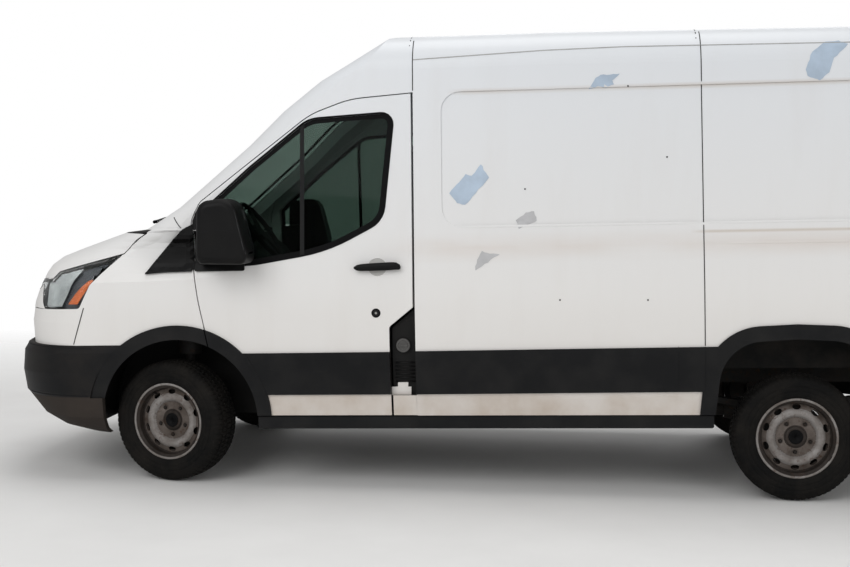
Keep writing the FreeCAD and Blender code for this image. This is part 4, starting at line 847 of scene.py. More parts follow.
def disc_mesh():
    """Pressed disc in wheel millimetres: points (x, outboard, z), faces, and each face's middle radius."""
    points = []
    edges = []
    holes = [vent_outline(i) for i in range(VENTS)]
    holes += [circle(10, 14, tuple(c)) for c in NUT_CENTRES]
    rings = [circle(r, 120 if r > 60 else 60) for r, y in DISC]
    for ring in rings + holes:
        start = len(points)
        points += ring
        edges += [(start + i, start + (i + 1) % len(ring)) for i in range(len(ring))]
    found = delaunay_2d_cdt(points, edges, [], 0, 0.01)
    flat = [Vector((p.x, disc_offset(p.length), p.y)) for p in found[0]]
    faces = []
    radii = []
    for f in found[2]:
        middle = sum((found[0][i] for i in f), Vector((0, 0))) / len(f)
        if not 33 < middle.length < 184 or any((middle - ring[0]).length < 60 and inside(middle, ring)
                                               for ring in holes):
            continue
        faces.append(list(f))
        radii.append(middle.length)
    return flat, faces, radii


DISC_MESH = disc_mesh()


def wheel_disc(name, place, wheel):
    flat, faces, radii = DISC_MESH
    points = [place @ (p / 1000) for p in flat]
    obj = piece(name, points, faces, WHEEL, wheel, smooth=True)
    obj.data.materials.append(WHEEL_HIGHLIGHT)
    obj.data.materials.append(WHEEL_SHADE)
    # Painted light on the disc: the raised ring takes the highlight steel, while the centre and the edge by the
    # well take the shade steel.
    lit_and_shaded_zones = [1 if 103 < r < 149 else 2 if (r < 62 or r > 176) else 0 for r in radii]
    if len(obj.data.polygons) == len(lit_and_shaded_zones):
        obj.data.polygons.foreach_set("material_index", lit_and_shaded_zones)
    outboard = place.to_3x3() @ Vector((0, 1, 0))
    flip = sum(1 for p in obj.data.polygons if p.normal.dot(outboard) < 0) > len(obj.data.polygons) / 2
    if flip:
        obj.data.flip_normals()
    thickened(obj, 0.005)
    obj.data.set_sharp_from_angle(angle=math.radians(35))
    return obj


def wheel_set(wheel, tyre_node, rim_node):
    place = hub_place(wheel)
    points, faces = tyre(place)
    obj = piece(wheel + "_tyre", points, faces, RUBBER, wheel, smooth=True)
    obj.data.set_sharp_from_angle(angle=math.radians(38))
    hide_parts(tyre_node)
    disc = wheel_disc(wheel + "_disc", place, wheel)
    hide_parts(rim_node)
    rim = turned(wheel + "_barrel", BARREL, place, 96, WHEEL_SHADE, wheel)
    rim.data.set_sharp_from_angle(angle=math.radians(40))
    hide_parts(rim_node)
    turned(wheel + "_lip", LIP, place, 120, WHEEL_HIGHLIGHT, wheel)
    turned(wheel + "_drum", DRUM, place, 64, BRAKE, wheel, smooth=False)
    turned(wheel + "_hub", HUB, place, 60, WHEEL_SHADE, wheel)
    # The bore is a black plug in the centre hole: painted shade of the hole.
    turned(wheel + "_bore", BORE, place, 48, EDGE_RUBBER, wheel)
    nuts = Build()
    for centre in NUT_CENTRES:
        spot = place @ Matrix.Translation(Vector((centre.x, 0, centre.y)) / 1000)
        nuts.lathe(NUT_SHAPE, spot, steps=6)
    nuts.finish(wheel + "_nuts", NUT, wheel, bevel=0.0008)
    extras = Build()
    valve = place @ Matrix.Translation(Vector((0.174 * math.cos(0.95), 0, 0.174 * math.sin(0.95))))
    extras.lathe(VALVE, valve, 12)
    weight = [place @ Vector((0.196 * math.cos(angle), 0.0925, 0.196 * math.sin(angle)))
              for angle in (3.6 + 0.03 * index for index in range(6))]
    extras.tube(weight, 0.0035, 6)
    extras.finish(wheel + "_hub_details", NUT, wheel)


for end in ("front", "rear"):
    for side in ("left", "right"):
        wheel_set("wheel_%s_%s" % (end, side), "tyre_%s_%s" % (end, side), "rim_%s_%s" % (end, side))

# Headlamps: dark housing, reflectors and amber marker behind a thin clear cover


def outer_faces(name, sign):
    """Points and faces of the outside of a hollow lamp body of the CAD model, on one side."""
    mesh = NODES[name].data
    tree = skin(name)
    wanted = []
    for polygon in mesh.polygons:
        centre = sum((mesh.vertices[i].co for i in polygon.vertices), Vector()) / len(polygon.vertices)
        if centre.y * sign < 0:
            continue
        normal = polygon.normal.normalized()
        back = tree.ray_cast(centre - normal * 0.001, -normal)
        ahead = tree.ray_cast(centre + normal * 0.001, normal)
        if back[0] is not None and back[3] < 0.06 and (ahead[0] is None or ahead[3] > 0.1):
            if Vector((normal.x, normal.y, 0)).dot(Vector((-1, sign, 0))) > 0.2:
                wanted.append(list(polygon.vertices))
    used = sorted({i for face in wanted for i in face})
    index = {old: new for new, old in enumerate(used)}
    return [mesh.vertices[i].co.copy() for i in used], [[index[i] for i in face] for face in wanted]


def merged(obj):
    """Joins points at the same place, so that a skin can take a thickness."""
    work = bmesh.new()
    work.from_mesh(obj.data)
    bmesh.ops.remove_doubles(work, verts=work.verts, dist=0.00005)
    work.to_mesh(obj.data)
    work.free()


def moved_in(obj, depth):
    obj.data.update()
    shift = [v.co - v.normal * depth for v in obj.data.vertices]
    for vertex, place in zip(obj.data.vertices, shift):
        vertex.co = place


REFLECTOR_OUTLINE = [(-700, 955), (-704, 1076), (-655, 1122), (-560, 1142), (-478, 1160), (-520, 1100),
                     (-552, 1020), (-588, 955)]
AMBER_OUTLINE = [(-540, 966), (-484, 964), (-442, 1030), (-400, 1085), (-380, 1106), (-425, 1092),
                 (-498, 1020)]
CHEEK_LINE = [(540, 1010), (790, 1070), (825, 1092), (921, 962)]
LAMP_FOOT = 961


def cheek_top(y):
    """Height up to which painted skin closes the lamp opening in front, at a distance from the middle."""
    return float(np.interp(y, [a for a, b in CHEEK_LINE], [b for a, b in CHEEK_LINE]))


lamp_skin = skin("headlamps")
for side, sign in SIDES:
    points, faces = outer_faces("headlamps", sign)
    housing = piece("lamp_housing_" + side, points, faces, LAMP_DARK, "body", smooth=True)
    merged(housing)
    moved_in(housing, 0.030)
    cover = piece("lamp_cover_" + side, points, faces, LAMP_CLEAR, "body", smooth=True)
    merged(cover)
    thickened(cover, 0.0025)
    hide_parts("headlamps")
    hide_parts("headlamps")
    bright = Build()
    skin_patch(bright, lamp_skin, REFLECTOR_OUTLINE, sign, -0.014, 14)
    bright.finish("lamp_reflector_" + side, REFLECTOR, "body", smooth=True)
    marker = Build()
    skin_patch(marker, lamp_skin, AMBER_OUTLINE, sign, -0.007, 14)
    marker.finish("lamp_marker_" + side, AMBER, "body", smooth=True)
    bowls = Build()
    for y, radius in ((590, 28), (668, 22)):
        middle, normal = front_point(lamp_skin, sign * y, (1112 + cheek_top(y)) / 2, -0.017)
        if middle is None:
            continue
        across = normal.cross(Vector((0, 0, 1))).normalized()
        place = frame_at(middle, across, normal, across.cross(normal))
        bowls.lathe([(-2, radius), (0, radius - 2), (-9, radius * 0.55), (-14, radius * 0.2), (-14.5, 1)],
                    place, 48, closed=False)
        bowls.lathe([(-12, 1), (-4, 1), (-4, 9), (-12, 12)], place, 24)
    if bowls.points:
        bowls.finish("lamp_bowls_" + side, BOWL, "body", smooth=True)
    inner_bright = Build()
    flat = []
    for k in range(14):
        y = 556 + (812 - 556) * k / 13
        for j in range(6):
            z = cheek_top(y) - 6 + (1108 - cheek_top(y)) * j / 5
            flat.append(front_point(lamp_skin, sign * y, z, -0.020)[0])
    inner_bright.add_met(flat, grid_faces(14, 6))
    inner_bright.finish("lamp_inner_" + side, REFLECTOR, "body", smooth=True)
    cheek = Build()
    flat = []
    for k in range(32):
        y = 546 + (917 - 546) * k / 31
        for j in range(10):
            z = LAMP_FOOT + (cheek_top(y) - LAMP_FOOT) * j / 9
            lift = 0.0005 if k in (0, 31) or j == 9 else 0.0018
            flat.append(front_point(lamp_skin, sign * y, z, lift)[0])
    cheek.add_met(flat, grid_faces(32, 10))
    cheek.finish("lamp_cheek_" + side, WHITE, "body", smooth=True)
    edge = Build()
    edge.tube([p for p in flat[9::10] if p is not None], 0.0018, 6)
    edge.finish("lamp_edge_" + side, GAP, "body")

# Foot of the windscreen pillar: painted cover over the joint between fender and pillar
for side, sign in SIDES:
    tree = skin("front_fenders", "cab_roof", "cowl_panel")
    foot = Build()
    flat = []
    xs = list(range(-70, 106, 12))
    for x in xs:
        top = side_point(tree, x, 1366, sign, 0.0015)[0]
        low = side_point(tree, x, 1284, sign, 0.0010)[0]
        for t in range(7):
            share = t / 6
            flat.append(top.lerp(low, share) + Vector((0, sign * 0.006 * math.sin(math.pi * share), 0)))
    foot.add(flat, grid_faces(len(xs), 7, flip=True))
    foot.finish("pillar_foot_" + side, WHITE, "body", smooth=True)

# Black sails on the doors, from their front edge to the mirrors
for side, sign in SIDES:
    sail = Build()
    outline = [(160, 1129), (157, 1180), (157, 1400), (172, 1440), (196, 1484), (232, 1500), (262, 1500),
               (262, 1162)]
    skin_patch(sail, skin("door_" + side), outline, sign, 0.0035, 20)
    sail_thickened(sail.finish("door_sail_" + side, MIRROR_SHELL, "door_" + side), sign)

# Sails' front parts, on the fenders and pillar feet
SAIL_PIXELS = [(144.5, 274.3), (153, 263.5), (163, 251.5), (173, 239.5), (182, 229.5), (192.4, 224.0),
               (193.3, 245), (194.9, 269.6)]


def front_sail():
    """Points over the left side's skins under the sail's pixels, and faces."""
    tree = skin("front_fenders", "cab_roof", "cowl_panel", "side_left")
    ring = [Vector(p) for p in divided(SAIL_PIXELS + SAIL_PIXELS[:1], 3)[:-1]]
    extra = [Vector((u, v)) for u in np.arange(146, 194, 4) for v in np.arange(227, 274, 4)]
    flat, faces = filled(ring, extra, 0.05)
    points = []
    for p in flat:
        ray = tree.ray_cast(EYE, sight(p.x, p.y))
        along = (ray[0] - EYE).dot(AHEAD) if ray[0] is not None else None
        points.append((p, along))
    depths = sorted(d for p, d in points if d is not None)
    shallow = depths[len(depths) // 4]
    out = []
    for p, depth in points:
        near_depths = [d for q, d in points if d is not None and (q - p).length < 9]
        depth = min(near_depths) if near_depths else shallow
        way = sight(p.x, p.y)
        out.append(EYE + way * ((depth - 0.009) / way.dot(AHEAD)))
    return out, faces


sail_points, sail_faces = front_sail()
for side, sign in SIDES:
    sail = Build()
    sail.add([Vector((p.x, -sign * p.y, p.z)) for p in sail_points], sail_faces)
    sail_thickened(sail.finish("fender_sail_" + side, MIRROR_SHELL, "body"), sign)

# Mirrors: glass in the rear face, a seam round the cap


def mirror_details(side, sign):
    body = "door_" + side
    pane = Build()
    outline = [(1075, 1215), (1075, 1440), (1090, 1490), (1200, 1500), (1222, 1470), (1226, 1240),
               (1210, 1212)]
    tree = skin("mirror_" + side)
    ring = []
    for y, z in divided(outline + outline[:1], 30)[:-1]:
        hit = tree.ray_cast(level(900, sign * y, z), Vector((-1, 0, 0)))[0]
        if hit is not None:
            ring.append(hit + Vector((0.0002, 0, 0)))
    if len(ring) > 3:
        pane.slab(ring, (1, 0, 0), 0.0004)
        pane.finish("mirror_glass_" + side, MIRROR_GLASS, body)
    seam = Build()
    runs = [[(262, 1342), (330, 1352), (400, 1350), (470, 1338)]]
    lay(seam, tree, runs, sign, 0.003, 0.0008, 15)
    seam.finish("mirror_seam_" + side, GAP, body)


for side, sign in SIDES:
    mirror_details(side, sign)

# Doors: black rubber round the glass, lock with its collar, and inner trim

WINDOW_CORNERS = [(250, 1480, 12), (470, 1672, 300), (790, 1922, 160), (1240, 1946, 55), (1178, 1385, 130),
                  (880, 1232, 900), (500, 1170, 300), (215, 1150, 12), (208, 1440, 12)]


def round_line(corners, step=5):
    """Closed line through corners (a, b, radius) with round bends."""
    line = []
    for i, (a, b, radius) in enumerate(corners):
        here = Vector((a, b))
        back = (Vector(corners[i - 1][:2]) - here).normalized()
        ahead = (Vector(corners[(i + 1) % len(corners)][:2]) - here).normalized()
        half = back.angle(ahead) / 2
        reach = radius / math.tan(half)
        centre = here + (back + ahead).normalized() * (radius / math.sin(half))
        start = here + back * reach - centre
        end = here + ahead * reach - centre
        sweep = math.pi - 2 * half
        turn = 1 if start.x * end.y - start.y * end.x > 0 else -1
        for k in range(step + 1):
            angle = turn * sweep * k / step
            line.append(centre + Vector((start.x * math.cos(angle) - start.y * math.sin(angle),
                                         start.x * math.sin(angle) + start.y * math.cos(angle))))
    return line


def set_off(line, distance):
    """The closed line moved outward (or inward, if negative)."""
    out = []
    area = sum(a.x * b.y - b.x * a.y for a, b in zip(line, line[1:] + line[:1]))
    way = 1 if area > 0 else -1
    for i, p in enumerate(line):
        along = (line[(i + 1) % len(line)] - line[i - 1]).normalized()
        out.append(p + Vector((along.y, -along.x)) * distance * way)
    return out


WINDOW_LINE = round_line(WINDOW_CORNERS)
LOCK = [(-2, 1), (-2, 6), (2.5, 6), (3, 5), (3, 1)]
COLLAR = [(-3, 9), (-3, 24), (1.2, 24), (2.4, 22), (2.0, 11), (1.0, 9)]
TRIM_PANEL = [(620, 430), (560, 610), (470, 735), (370, 805), (285, 850), (270, 1120), (900, 1165),
              (1180, 1300), (1310, 1500), (1318, 430)]
TRIM_REST = [(520, 880), (520, 930), (1120, 960), (1120, 905)]
TRIM_POCKET = [(680, 450), (660, 640), (1240, 640), (1240, 450)]
for side, sign in SIDES:
    rim = Build()
    run = [tuple(p) for p in set_off(WINDOW_LINE, -11)]
    lay(rim, skin("door_glass_" + side), [run + run[:1]], sign, 0.024, 0.0012, 25)
    run = [tuple(p) for p in set_off(WINDOW_LINE, 5)]
    lay(rim, skin("door_" + side), [run + run[:1]], sign, 0.010, 0.0018, 25)
    rim.finish("window_rubber_" + side, EDGE_RUBBER, "door_" + side)
    centre, normal = side_point(skin("door_cladding_" + side, "door_" + side), 1140, 901, sign, 0.0)
    across = Vector((1, 0, 0))
    place = frame_at(centre, across, normal, normal.cross(across) * -1)
    door = "door_" + side
    turned("lock_" + side, LOCK, place, 24, METAL, door, smooth=False)
    turned("lock_collar_" + side, COLLAR, place, 40, EDGE_RUBBER, door, smooth=False)
    inner = Build()
    for outline, y, thickness in ((TRIM_PANEL, 831, 0.010), (TRIM_REST, 822, 0.030),
                                  (TRIM_POCKET, 822, 0.022)):
        inner.slab([level(x, sign * y, z) for x, z in outline], (0, -sign, 0), thickness)
    inner.finish("door_trim_" + side, DASH, "door_" + side, bevel=0.006)

# Door handles: grey patches on the skin behind the pulls, painted shade of shallow round cups, with rims and grips


def shaded_handle_cup(name, tree, x, z, sign, body):
    """Round cup behind a pull, drawn flat on the skin in grey as painted shade of its hollow: its face, its rim,
    and the pull's thick grip.
    """

    def oval(half_x, half_z):
        return [(x + half_x * math.cos(math.pi * k / 14), z + half_z * math.sin(math.pi * k / 14))
                for k in range(28)]

    # The cup's face is a flat grey patch on the skin: painted shade of the hollow.
    cup = Build()
    skin_patch(cup, tree, oval(50, 47), sign, 0.0007)
    cup.finish("shaded_handle_cup_" + name, CUP_SHADE, body, smooth=True)
    rim = Build()
    rim.tube([side_point(tree, a, b, sign, 0.0004)[0] for a, b in oval(51, 48)], 0.0016, 6, closed=True)
    rim.finish("handle_rim_" + name, WHITE, body, smooth=True)
    grip = Build()
    flat = []
    for k in range(15):
        t = -1 + 2 * k / 14
        swell = max(math.sqrt(max(0.0, 1 - abs(t) ** 6)), 0.25)
        middle = side_point(tree, x + 2 + 122 * t, z + 4 * t, sign, 0.034)[0]
        for turn in range(12):
            a = 2 * math.pi * turn / 12
            away = Vector((0, 0.009 * math.sin(a), (0.0205 + 0.002 * t) * math.cos(a)))
            flat.append(middle + away * swell)
    ends = [list(range(12)), [168 + n for n in range(12)]]
    grip.add(flat, grid_faces(15, 12, wrap_columns=True) + ends)
    grip.finish("handle_grip_" + name, MIRROR_SHELL, body, smooth=True)


for side, sign in SIDES:
    shaded_handle_cup(side, skin("door_" + side), 1150, 1141, sign, "door_" + side)
shaded_handle_cup("slide", skin("sliding_door"), 1520, 1141, 1, "body")

# Seams between the arch flares and the door mouldings
FLARE_SEAM = [(436, 690), (464, 640), (491, 594), (522, 524), (545, 462)]
for side, sign in SIDES:
    flare = Build()
    lay(flare, skin("door_cladding_" + side), [FLARE_SEAM], sign, 0.005)
    flare.finish("flare_seam_" + side, GAP, "door_" + side)

# Seams round the bumper skirt: under its top edge, and above its lower lip

skirt_skin = skin("bumper_skirt")
skirt_seam = Build()
for z, width in ((462, 0.006), (722, 0.003)):
    points = []
    normals = []
    for k in range(-84, 85):
        point, normal = nose_point(skirt_skin, math.radians(k), z, 0.0015)
        if point is None or abs(point.y) < 0.56 and z < 600:
            if len(points) > 1:
                skirt_seam.strip(points, normals, width)
            points, normals = [], []
            continue
        points.append(point)
        normals.append(normal)
    if len(points) > 1:
        skirt_seam.strip(points, normals, width)
skirt_seam.finish("skirt_seams", GAP, "body")

# Fuel filler: ribs of the black housing, cap with a grip bar, and the painted notch at its foot

filler = skin("fuel_filler", "side_left")
ribs_piece = Build()
for i in range(6):
    z = 536 + 20 * i
    ends = [side_point(filler, x, z, -1, 0.004)[0] for x in (1232, 1335)]
    ribs_piece.tube(ends, 0.0045, 8)
ribs_piece.finish("filler_ribs", BLACK, "body", smooth=True)
cap = Build()
centre, normal = side_point(filler, 1278, 728, -1, 0.0)
cap_place = frame_at(centre, (1, 0, 0), (0, -1, 0), (0, 0, 1))
cap.lathe([(0, 1), (0, 37), (5, 37), (8, 34), (8, 27), (4, 24), (4, 1)], cap_place, 40)
GRIP_BAR = [(-0.025, -0.006), (0.025, -0.006), (0.025, 0.006), (-0.025, 0.006)]
cap.slab([cap_place @ Vector((x, 0.003, z)) for x, z in GRIP_BAR], (0, -1, 0), 0.009)
cap.finish("filler_cap_face", GREY_CAP, "body", smooth=False, bevel=0.001)

NOTCH_PIXELS = [(392.0, 395.0), (392.0, 386.8), (398.0, 386.4), (398.0, 382.2), (408.3, 382.0),
                (408.3, 386.6), (411.4, 386.6), (411.4, 395.0)]
NOTCH_FACE = -0.972   # y of the notch's outer face, in metres
notch = Build()
ring = []
for u, v in NOTCH_PIXELS:
    way = sight(u, v)
    ring.append(EYE + way * ((NOTCH_FACE - EYE.y) / way.y))
notch.slab(ring, (0, 1, 0), 0.006)
notch.finish("filler_notch", WHITE, "body")

# Windscreen: black border on the glass, wipers on the cowl

screen_skin = skin("windscreen")


def screen_point(y, z, lift=0.001):
    return front_point(screen_skin, y, z, lift, -700)


border = Build()
for run in ([(-770, 1400), (-700, 2090)], [(770, 1400), (700, 2090)], [(-690, 2095), (690, 2095)],
            [(-760, 1385), (760, 1385)]):
    band(border, [screen_point(y, z) for y, z in divided(run, 40)], 0.045)
border.finish("windscreen_border", EDGE_RUBBER, "body")

wipers = Build()
for foot_y, tip_y in ((-640, 40), (60, 700)):
    arm = []
    for t in (0, 0.12, 0.4, 0.75, 1.0):
        y = foot_y + (tip_y - foot_y) * t
        point, normal = screen_point(y, 1395 + 40 * t, 0.018)
        if point is not None:
            arm.append(point)
    if len(arm) > 2:
        wipers.tube(arm, [0.010] + [0.006] * (len(arm) - 1), 8)
        blade = [p - Vector((0.0, 0, 0.012)) for p in arm[1:]]
        wipers.tube(blade, 0.005, 6)
wipers.finish("wipers", EDGE_RUBBER, "body", smooth=True)

# Front and rear plates, without text

nose = skin("bumper_cover", "bumper_skirt", "grille")


def plate_at(name, tree, x, direction, y, z, half_width, half_height, body):
    """Bare plate against the nose or the tail."""
    hits = []
    for dy, dz in ((0, 0), (half_width, 0), (-half_width, 0), (0, half_height), (0, -half_height)):
        hit = tree.ray_cast(level(x, y + dy, z + dz), Vector((direction, 0, 0)))[0]
        if hit is not None:
            hits.append(hit.x)
    front = (min(hits) if direction > 0 else max(hits)) - direction * 0.002
    low = level(0, 0, z - half_height).z
    high = level(0, 0, z + half_height).z
    lift = front + MIDDLE / 1000
    low += lift * LEAN_SIN
    high += lift * LEAN_SIN
    plate = Build()
    ring = []
    r = 0.012
    for cy, cz, a0 in ((half_width / 1000 - r, high - r, 0), (-half_width / 1000 + r, high - r, 90),
                       (-half_width / 1000 + r, low + r, 180), (half_width / 1000 - r, low + r, 270)):
        for k in range(5):
            a = math.radians(a0 + 22.5 * k)
            ring.append(Vector((front, y / 1000 + cy + r * math.cos(a), cz + r * math.sin(a))))
    plate.slab(ring, (direction, 0, 0), 0.0015)
    return plate.finish(name, PLATE, body)


# Hinges, pressings and handle of the rear doors

for side, sign in SIDES:
    door = skin("rear_door_" + side)
    hinges = Build()
    for z in (760, 1420, 2080):
        point, normal = tail_point(door, sign * 800, z, 0.0)
        if point is None:
            continue
        for dz in (-26, 26):
            base, way = tail_point(door, sign * 790, z + dz, 0.004)
            outline = [base + Vector((0, sign * a / 1000, b / 1000)) for a, b in
                       ((-62, -11), (-62, 11), (30, 13), (40, 0), (30, -13))]
            hinges.slab(outline, (1, 0, 0), 0.010)
        knuckle = [point + Vector((0.004, sign * 0.026, dz / 1000)) for dz in (-52, 52)]
        hinges.tube(knuckle, 0.009, 12)
    hinges.finish("rear_hinges_" + side, WHITE, "rear_door_" + side, bevel=0.002)
    panel = Build()
    for z_from, z_to in ((1330, 2060), (720, 1180)):
        ring = []
        for y, z in divided([(130, z_from), (130, z_to), (700, z_to), (700, z_from), (130, z_from)], 60)[:-1]:
            point, normal = tail_point(door, sign * y, z, 0.001)
            ring.append(point)
        panel.tube(ring, 0.006, 8, closed=True)
    panel.finish("rear_pressing_" + side, WHITE, "rear_door_" + side, smooth=True)

handle = Build()
door = skin("rear_door_right")
base, way = tail_point(door, 75, 1130, 0.0)
outline = [base + Vector((0, a / 1000, b / 1000)) for a, b in ((-26, -95), (-30, -80), (-30, 80), (-26, 95),
                                                             (26, 95), (30, 80), (30, -80), (26, -95))]
handle.slab(outline, (1, 0, 0), 0.012)
bar = [base + Vector((0.014 + 0.012 * math.sin(math.pi * t), 0, -0.075 + 0.15 * t)) for t in
       (0, 0.1, 0.3, 0.5, 0.7, 0.9, 1)]
handle.tube(bar, 0.008, 10)
handle.finish("rear_handle", BLACK, "rear_door_right", bevel=0.003)

# Lamp segments behind the red covers
for side, sign in SIDES:
    cells = Build()
    for z in (940, 1070, 1200, 1330):
        outline = []
        for dy, dz in ((-32, -48), (-32, 48), (32, 48), (32, -48)):
            hit = tail_point(skin("tail_lamps"), sign * (935 + dy), z + dz, 0.0)[0]
            if hit is not None:
                outline.append(hit - Vector((0.014, 0, 0)))
        if len(outline) == 4:
            cells.slab(outline, (-1, 0, 0), 0.008)
    if cells.points:
        cells.finish("tail_reflectors_" + side, REFLECTOR, "body", bevel=0.004)

# Cabin: seats as padded cushions, details of the dashboard


def block_mesh(corners, y_from, y_to, shrink):
    """Closed form from a side outline (level x, z) between two y, drawn in a little."""
    middle_x = sum(c[0] for c in corners) / len(corners)
    middle_z = sum(c[1] for c in corners) / len(corners)
    inner = []
    for x, z in corners:
        dx, dz = x - middle_x, z - middle_z
        size = math.hypot(dx, dz)
        inner.append((x - dx / size * shrink, z - dz / size * shrink))
    near, far = y_from + shrink, y_to - shrink
    flat = [level(x, near, z) for x, z in inner] + [level(x, far, z) for x, z in inner]
    count = len(inner)
    faces = [list(range(count)), list(range(count, 2 * count))[::-1]]
    for i in range(count):
        j = (i + 1) % count
        faces.append([i, count + i, count + j, j])
    return flat, faces


def puffed(obj, pressure, cap):
    """Swells a remeshed pad with a short cloth simulation, and limits how far a point moves."""
    rest = np.array([v.co[:] for v in obj.data.vertices])
    modifier = obj.modifiers.new("cloth", "CLOTH")
    settings = modifier.settings
    settings.use_pressure = True
    settings.uniform_pressure_force = pressure
    settings.effector_weights.gravity = 0
    settings.quality = 4
    scene = bpy.context.scene
    for number in range(1, 21):
        scene.frame_set(number)
    depsgraph = bpy.context.evaluated_depsgraph_get()
    moved = np.array([v.co[:] for v in obj.evaluated_get(depsgraph).data.vertices])
    obj.modifiers.remove(modifier)
    scene.frame_set(1)
    step = moved - rest
    length = np.linalg.norm(step, axis=1, keepdims=True)
    step *= np.minimum(1, cap / np.maximum(length, 1e-9))
    obj.data.vertices.foreach_set("co", (rest + step).astype(np.float32).ravel())
    obj.data.update()


def pad(name, corners, y_from, y_to, channels=()):
    flat, faces = block_mesh(corners, y_from, y_to, 14)
    obj = piece(name, flat, faces, SEAT, "body", smooth=True)
    bpy.context.view_layer.objects.active = obj
    rounding = obj.modifiers.new("round", "BEVEL")
    rounding.width = 0.018
    rounding.segments = 3
    remesh = obj.modifiers.new("remesh", "REMESH")
    remesh.mode = "VOXEL"
    remesh.voxel_size = 0.008
    depsgraph = bpy.context.evaluated_depsgraph_get()
    mesh = bpy.data.meshes.new_from_object(obj.evaluated_get(depsgraph))
    obj.modifiers.clear()
    obj.data = mesh
    if not obj.data.materials:
        obj.data.materials.append(SEAT)
    puffed(obj, 4.0, 0.013)
    points = np.array([v.co[:] for v in obj.data.vertices])
    for y in channels:
        near = np.abs(points[:, 1] - y / 1000)
        depth = 0.007 * np.exp(-(near / 0.006) ** 2)
        centre = points.mean(axis=0)
        way = points - centre
        way[:, 1] = 0
        way /= np.maximum(np.linalg.norm(way, axis=1, keepdims=True), 1e-9)
        points -= way * depth[:, None]
    obj.data.vertices.foreach_set("co", points.astype(np.float32).ravel())
    obj.data.polygons.foreach_set("use_smooth", [True] * len(obj.data.polygons))
    obj.data.update()
    smooth = obj.modifiers.new("smooth", "SMOOTH")
    smooth.factor = 0.5
    smooth.iterations = 3
    return obj


CUSHION = [(680, 880), (690, 1000), (1100, 965), (1110, 850)]
BACKREST = [(1092, 905), (1165, 1625), (1262, 1640), (1224, 880)]
HEAD = [(1182, 1655), (1190, 1828), (1268, 1832), (1262, 1660)]
for label, y_from, y_to in (("driver", -690, -190), ("passenger", -80, 780)):
    middle = (y_from + y_to) / 2
    quarter = (y_to - y_from) / 4
    lines = (middle - quarter, middle + quarter)
    if label == "passenger":
        lines = (middle - quarter, middle, middle + quarter)
    pad("cushion_" + label, CUSHION, y_from, y_to, channels=lines)
    pad("backrest_" + label, BACKREST, y_from, y_to, channels=lines)
    heads = (middle,) if label == "driver" else (y_from + 215, y_to - 215)
    for number, y in enumerate(heads):
        pad("headrest_%s_%d" % (label, number), HEAD, y - 125, y + 125)
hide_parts("seats")
bases = Build()
for y_from, y_to in ((-650, -230), (-40, 740)):
    outline = [level(x, y_from, z) for x, z in ((762, 592), (762, 872), (1148, 862), (1148, 592))]
    bases.slab(outline, (0, 1, 0), (y_to - y_from) / 1000)
for y in (-440, 135, 565):
    for dy in (-45, 45):
        bases.tube([level(1218, y + dy, 1600), level(1225, y + dy, 1680)], 0.006, 10)
bases.finish("seat_bases", DASH, "body", bevel=0.012)

cluster = Build()
hood = [level(x, -620, z) for x, z in ((160, 1265), (130, 1335), (10, 1330), (10, 1265))]
cluster.slab(hood, (0, 1, 0), 0.37)
for y in (-140, 60, 480):
    spot = level(262, y, 1205)
    corners = ((-0.07, -0.03), (0.07, -0.03), (0.07, 0.03), (-0.07, 0.03))
    cluster.slab([spot + Vector((0.006, a, b)) for a, b in corners], (1, 0, 0.4), 0.004)
cluster.finish("dash_details", DASH, "body", bevel=0.006)

# Plates
plate_at("front_plate", nose, -1400, 1, 0, 770, 150, 75, "body")
plate_at("rear_plate", skin("rear_door_left"), 5000, -1, -420, 700, 150, 75, "rear_door_left")

# Floor, world and lamps


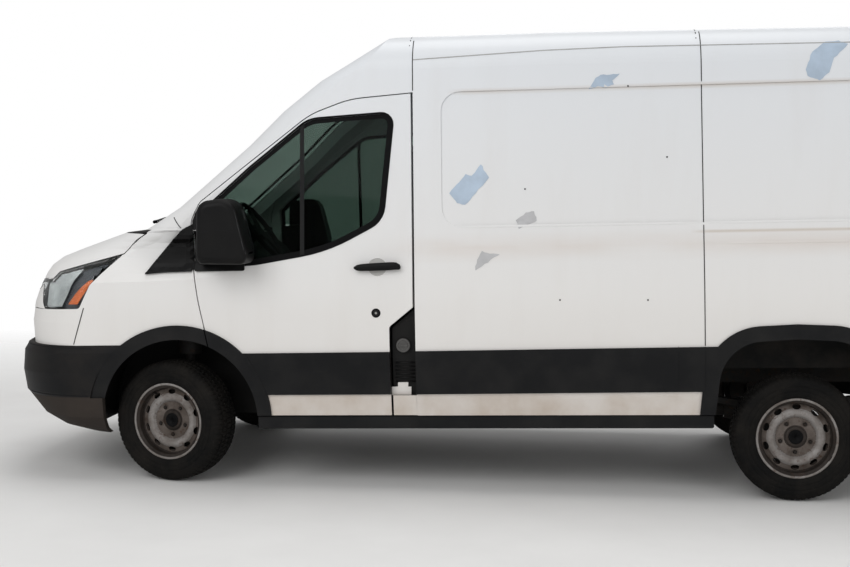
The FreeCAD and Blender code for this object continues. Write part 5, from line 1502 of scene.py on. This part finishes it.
def stage_set():
    mesh = bpy.data.meshes.new("floor")
    corners = [(x * 14, y * 14, 0) for x, y in ((-1, -1), (1, -1), (1, 1), (-1, 1))]
    mesh.from_pydata(corners, [], [(0, 1, 2, 3)])
    floor = bpy.data.objects.new("floor", mesh)
    bpy.context.scene.collection.objects.link(floor)
    p = Paint("floor_paint", (0.80, 0.795, 0.785), 0.85)
    cloud = p.span(p.noise(1.6, 4, 0.6), 0.3, 0.8)
    p.set(Base_Color=p.mix(cloud, (0.82, 0.815, 0.805), (0.77, 0.765, 0.755)))
    # The floor fades out towards the white background
    across = p.calc("POWER", p.times(p.axis(0), 0.62), 2.0)
    reach = p.calc("SQRT", p.calc("ADD", across, p.calc("POWER", p.axis(1), 2.0)))
    p.set(Alpha=p.span(reach, 3.0, 7.5, 1.0, 0.0))
    mesh.materials.append(p.material)
    world = bpy.data.worlds.new("world")
    bpy.context.scene.world = world
    world.use_nodes = True
    tree = world.node_tree
    background = tree.nodes["Background"]
    light = tree.nodes.new("ShaderNodeLightPath")
    seen = tree.nodes.new("ShaderNodeMath")
    seen.operation = "MAXIMUM"
    tree.links.new(light.outputs["Is Camera Ray"], seen.inputs[0])
    tree.links.new(light.outputs["Is Transmission Ray"], seen.inputs[1])
    strength = tree.nodes.new("ShaderNodeMapRange")
    strength.inputs[3].default_value = 0.42
    strength.inputs[4].default_value = 1.0
    tree.links.new(seen.outputs[0], strength.inputs[0])
    tree.links.new(strength.outputs[0], background.inputs["Strength"])
    background.inputs["Color"].default_value = (1, 1, 1, 1)
    for name, place, target, size, power in (
            ("key", (-5.0, -11.0, 7.5), (0.3, 0, 1.0), 8.0, 640),
            ("fill", (7.5, -10.0, 4.0), (0.8, 0, 1.0), 7.0, 230),
            ("top", (0.0, 1.0, 14.0), (0, 0, 0), 8.0, 560),
            ("back", (2.0, 12.0, 6.0), (0, 0, 1.0), 8.0, 270)):
        data = bpy.data.lights.new(name, "AREA")
        data.shape = "SQUARE"
        data.size = size
        data.energy = power
        lamp = bpy.data.objects.new(name, data)
        lamp.location = place
        lamp.rotation_euler = (Vector(target) - Vector(place)).to_track_quat("-Z", "Y").to_euler()
        bpy.context.scene.collection.objects.link(lamp)
    bpy.context.scene.view_settings.view_transform = "Standard"


stage_set()
